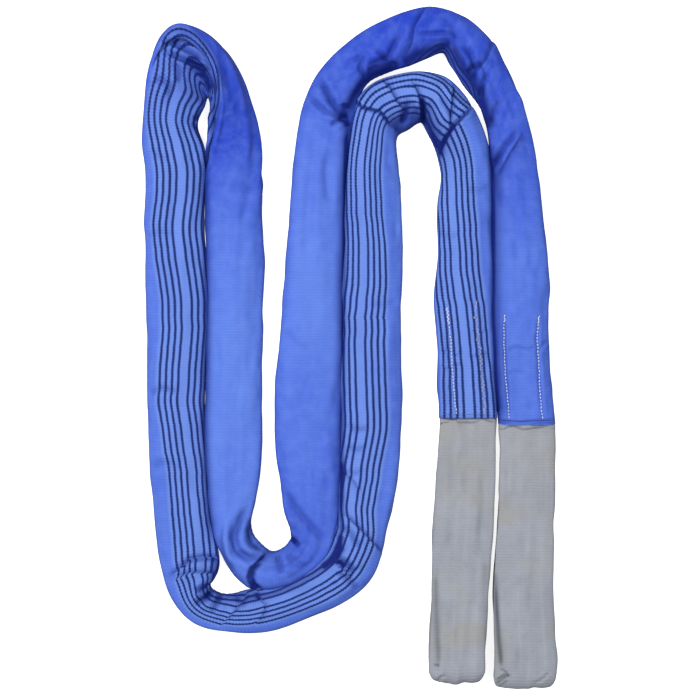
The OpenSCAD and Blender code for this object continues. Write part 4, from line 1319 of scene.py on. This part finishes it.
def tuck_nose(eye, ring):
    """Rounded nose of the tuck that keeps the sleeve closed as the eye opens."""
    hinge_y, hinge_z = ring[:, 1].mean(), eye.top.z + SLEEVE_T
    sign = 1 if eye.heading.y > 0 else -1
    centre_x = ring[:, 0].mean()
    out_y = (ring[:, 1] - hinge_y) * sign
    out_z = (ring[:, 2] - hinge_z) * 0.965 - 0.0006
    nose = []
    for degrees in (6, 12, 20, 28, 36, 44, 52, 58):
        cos, sin = math.cos(math.radians(degrees)), math.sin(math.radians(degrees))
        nose.append(np.stack([centre_x + (ring[:, 0] - centre_x) * 0.972,
                              hinge_y + sign * (out_y * cos - out_z * sin),
                              hinge_z + out_y * sin + out_z * cos], 1))
    return np.array(nose)


def build_eye(eye):
    """Upper, tip, lower and tuck pieces of one sleeve."""
    distance, grid, path, shade = creased_eye(eye)
    ring_normals = grid_normals(grid)
    tip = int(np.argmax(path[:, 0]))
    leave = int(np.argmin(np.abs(path[:tip, 0] - (eye.hem + 0.003))))
    low = tip + int(np.argmin(np.abs(path[tip:, 0] + 0.104)))
    pieces = []
    for name, first, last in (("upper", leave, tip), ("tip", tip, low),
                              ("lower", low, len(distance) - 1)):
        rows = slice(first, last + 1)
        custom = np.zeros_like(grid[rows])
        custom[0], custom[-1] = ring_normals[first], ring_normals[last]
        pieces.append(grid_mesh(f"eye_{eye.side}_sleeve_{name}_cloth", grid[rows],
                                distance[rows], sleeve_mat, around=SLEEVE_CLOTH,
                                custom=custom, painted_shade=shade[rows]))
    nose = tuck_nose(eye, grid[leave])
    nose_at = distance[leave] + 0.0016 * np.arange(1, len(nose) + 1)
    rows = slice(0, leave + 1)
    nose_shade = np.repeat(shade[leave : leave + 1], len(nose), 0)
    pieces.append(grid_mesh(f"eye_{eye.side}_sleeve_tuck_cloth",
                            np.concatenate([grid[rows], nose]),
                            np.concatenate([distance[rows], nose_at]), sleeve_mat,
                            around=SLEEVE_CLOTH,
                            painted_shade=np.concatenate([shade[rows], nose_shade])))
    return pieces


sleeve_mat = sleeve_material()
eyes = {side: Eye(side) for side in "ab"}
sleeves = {side: build_eye(eyes[side]) for side in "ab"}


# ---------------------------------------------------------------- stitches
def tree_of(objects):
    points, faces = [], []
    for obj in objects:
        base = len(points)
        points += [vertex.co.copy() for vertex in obj.data.vertices]
        faces += [[base + i for i in face.vertices] for face in obj.data.polygons]
    return BVHTree.FromPolygons(points, faces)


def drop(tree, place):
    """Point and normal of the cloth below a place."""
    hit = tree.ray_cast(Vector((place[0], place[1], 0.3)), Vector((0, 0, -1)))
    return hit[0], hit[1]


def threads(name, tree, pairs, radius, material, rise):
    """Short thread stitches lying on the cloth, each diving in at both ends."""
    points, faces = [], []
    sides, ring_count = 7, 7
    for start_place, end_place in pairs:
        start, start_normal = drop(tree, start_place)
        end, end_normal = drop(tree, end_place)
        if start is None or end is None:
            continue
        axis = end - start
        if axis.length < 1e-4 or axis.length > 0.02:
            continue
        up = (start_normal + end_normal).normalized()
        side = axis.normalized().cross(up).normalized()
        base = len(points)
        for i in range(ring_count):
            share = i / (ring_count - 1)
            arch = math.sin(PI * share)
            height = rise * arch - radius * 0.9 * (abs(2 * share - 1) ** 3)
            centre = start.lerp(end, share) + up * height
            thick = radius * (0.55 + 0.45 * arch)
            climb = up * (rise / axis.length) * PI * math.cos(PI * share)
            over = side.cross((axis.normalized() + climb).normalized()).normalized()
            for j in range(sides):
                turn = 2 * PI * j / sides
                points.append(centre + side * (thick * math.cos(turn))
                              + over * (thick * math.sin(turn)))
        for i in range(ring_count - 1):
            ring = base + i * sides
            for j in range(sides):
                after = (j + 1) % sides
                faces.append((ring + j, ring + after, ring + sides + after,
                              ring + sides + j))
        faces.append(tuple(base + j for j in reversed(range(sides))))
        faces.append(tuple(base + (ring_count - 1) * sides + j for j in range(sides)))
    mesh = bpy.data.meshes.new(name)
    mesh.from_pydata(points, [], faces)
    mesh.polygons.foreach_set("use_smooth", np.ones(len(faces), bool))
    mesh.update()
    obj = link_object(name, mesh, material)
    # all faces turned outwards
    edit = bmesh.new()
    edit.from_mesh(mesh)
    bmesh.ops.recalc_face_normals(edit, faces=edit.faces)
    edit.to_mesh(mesh)
    edit.free()
    return obj


def along_line(points_mm, step):
    points = np.array(points_mm, float) / 1000
    length = arc_length(points)
    return interp_columns(np.arange(0, length[-1], step), length, points)


def dash_row(points_mm, step, wobble, seed):
    """Straight row of dashes with a little wander."""
    places = along_line(points_mm, step)
    draw = np.random.default_rng(seed)
    places = places + np.stack([draw.normal(0, wobble, len(places)),
                                draw.normal(0, wobble * 0.5, len(places))], 1)
    return [(start, start + (end - start) * 0.66)
            for start, end in zip(places[:-1], places[1:])]


def zigzag_row(points_mm, step, swing, seed, loose=0.18):
    places = along_line(points_mm, step)
    draw = np.random.default_rng(seed)
    tangent = np.gradient(places, axis=0)
    tangent /= np.linalg.norm(tangent, axis=1, keepdims=True)
    across = np.stack([-tangent[:, 1], tangent[:, 0]], 1)
    sign = np.where(np.arange(len(places)) % 2 == 0, 1.0, -1.0)
    offset = sign * swing * (1 + draw.normal(0, loose, len(places)))
    places = places + across * offset[:, None]
    return list(zip(places[:-1], places[1:]))


def hem_row(ring, seed, back_mm=5.0, inset_mm=6):
    """Row of stitches across the top of a hem, set back from its edge."""
    top = ring[: len(ring) // 2 + 1]
    points = sorted((x * 1000, y * 1000 + back_mm) for x, y, _ in top)
    low, high = points[0][0] + inset_mm, points[-1][0] - inset_mm
    inner = [point for point in points if low < point[0] < high]
    return dash_row(inner, step=0.0034, wobble=0.00015, seed=seed)


white = thread_material("white_thread_fibre", (0.70, 0.73, 0.86), (0.92, 0.93, 0.97))
worn = thread_material("worn_thread_fibre", (0.16, 0.20, 0.42), (0.80, 0.82, 0.90))
navy = thread_material("navy_thread_fibre", (0.010, 0.022, 0.13), (0.030, 0.060, 0.28))
trees = {
    "a": tree_of([cloth["throat_a"], cloth["top_arch_striped"]]),
    "b": tree_of([cloth["throat_b"], cloth["top_arch_plain"]]),
}
# Throat seams as x, y points in mm.
SEAMS = {
    "a_left": [(212.1, 35.3), (215.4, 6.3), (217, -1.6), (220.8, -63.1), (223.3, -97.8),
               (226.9, -135.6)],
    "a_right": [(256.4, 45.7), (260.2, -11), (264.9, -39.4), (268.1, -82), (272, -134)],
    "b_left": [(302.8, 23.7), (302.2, 9.5), (301.5, -17.3), (303.7, -66.2), (307, -102.5),
               (310, -141.1)],
    "b_right": [(357, 22.1), (355.5, 9.5), (353.7, -14.2), (356.4, -58.3), (358.9, -107.2),
                (362.1, -141.1)],
}


def seam(key, zigzag, wobble, seed, radius=0.00080):
    """White seam: a short zigzag at the top, then dashes that overlap its last stretch."""
    line = SEAMS[key]
    step, swing = zigzag
    row = (zigzag_row(line[:2], step, swing, seed)
           + dash_row(line[1:], step=0.0052, wobble=wobble, seed=seed + 1))
    return threads(f"throat_seam_{key}_thread", trees[key[0]], row, radius, white,
                   rise=0.0008)


seams = {"a_left": seam("a_left", zigzag=(0.0030, 0.0018), wobble=0.00055, seed=1)}
worn_row = zigzag_row(SEAMS["a_right"], step=0.0029, swing=0.0019, seed=3, loose=0.55)
seams["a_right"] = threads("throat_seam_a_right_thread", trees["a"], worn_row,
                           radius=0.00052, material=worn, rise=0.0006)
seams["b_left"] = seam("b_left", zigzag=(0.0040, 0.0009), wobble=0.00045, seed=4)
seams["b_right"] = seam("b_right", zigzag=(0.0040, 0.0009), wobble=0.00050, seed=6,
                        radius=0.00085)
hems = {
    side: threads(f"hem_seam_{side}_thread", trees[side], hem_row(ring, seed), radius,
                  navy, rise=0.0004)
    for side, ring, seed, radius in (("a", rings[0], 8, 0.00055), ("b", rings[-1], 9, 0.00075))
}

# ---------------------------------------------------------------- bodies and hidden frame parts
for piece, _, body, covered in PIECES:
    start, end = BODY_BLENDS[body]
    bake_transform(cloth[piece])
    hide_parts(*[f"cover_{name}" for name in covered
                                if f"cover_{name}" in node_names])
    for leg in hanks[piece]:
        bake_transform(leg)
    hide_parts(*[f"hank_{name}" for name in covered
                                   if f"hank_{name}" in node_names])
if "hank_ties" in node_names:
    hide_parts("hank_ties")

for key, obj in seams.items():
    body = f"end_{key[0]}"
    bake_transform(obj)
    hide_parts(f"throat_seam_{key}")

for side, eye in eyes.items():
    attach(hems[side], f"end_{side}")
    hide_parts(f"hem_seam_{side}")
    name = f"eye_{side}"
    upper, tip, lower, tuck = sleeves[side]
    # bodies and distances from the hem listed for each piece; only the transform is baked
    for obj, first, second, start, end in (
        (lower, f"end_{side}", f"{name}_lower", 0.168, 0.212),
        (tip, f"{name}_lower", f"{name}_tip", 0.382, 0.404),
        (upper, f"{name}_tip", f"{name}_upper", 0.240, 0.176),
    ):
        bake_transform(obj)
    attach(tuck, f"end_{side}")
    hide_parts(f"{name}_sleeve_base", f"{name}_sleeve_lower", f"{name}_hank_lower")
    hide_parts(f"{name}_sleeve_tip", f"{name}_hank_tip")
    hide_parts(f"{name}_sleeve_upper", f"{name}_hank_upper")
    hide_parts(f"{name}_sleeve_tuck")

# ---------------------------------------------------------------- studio
bpy.ops.mesh.primitive_plane_add(size=24, location=(0.06, -0.03, -0.0006))
floor = bpy.context.object
floor.name = "floor"
floor.data.materials.append(floor_material())


def area_light(name, location, size, power):
    """Square light aimed at the middle of the sling."""
    light = bpy.data.lights.new(name, "AREA")
    light.shape = "SQUARE"
    light.size = size
    light.energy = power
    obj = bpy.data.objects.new(name, light)
    bpy.context.scene.collection.objects.link(obj)
    obj.location = location
    aim = Vector((0.06, 0, 0)) - Vector(location)
    obj.rotation_euler = aim.to_track_quat("-Z", "Y").to_euler()


area_light("key_light", location=(-2.5, 1.7, 4.6), size=1.3, power=250)
area_light("fill_light", location=(2.0, -1.1, 4.2), size=1.8, power=85)


def studio_world():
    """Dim white light, and a plain white backdrop that only the camera sees."""
    world = bpy.data.worlds.new("studio_world")
    world.use_nodes = True
    nodes, links = world.node_tree.nodes, world.node_tree.links
    ambient = nodes["Background"]
    backdrop = nodes.new("ShaderNodeBackground")
    for background, strength in ((ambient, 0.14), (backdrop, 1.0)):
        background.inputs[0].default_value = (1, 1, 1, 1)
        background.inputs[1].default_value = strength
    path = nodes.new("ShaderNodeLightPath")
    choose = nodes.new("ShaderNodeMixShader")
    links.new(path.outputs["Is Camera Ray"], choose.inputs[0])
    links.new(ambient.outputs[0], choose.inputs[1])
    links.new(backdrop.outputs[0], choose.inputs[2])
    links.new(choose.outputs[0], nodes["World Output"].inputs[0])
    return world


scene = bpy.context.scene
scene.world = studio_world()
scene.view_settings.view_transform = "Standard"

lens = bpy.data.cameras.new("camera")
lens.lens = 100
lens.sensor_width = 36
camera = bpy.data.objects.new("camera", lens)
camera.location = (0.0599, -0.0315, 3.084)
scene.collection.objects.link(camera)
scene.camera = camera
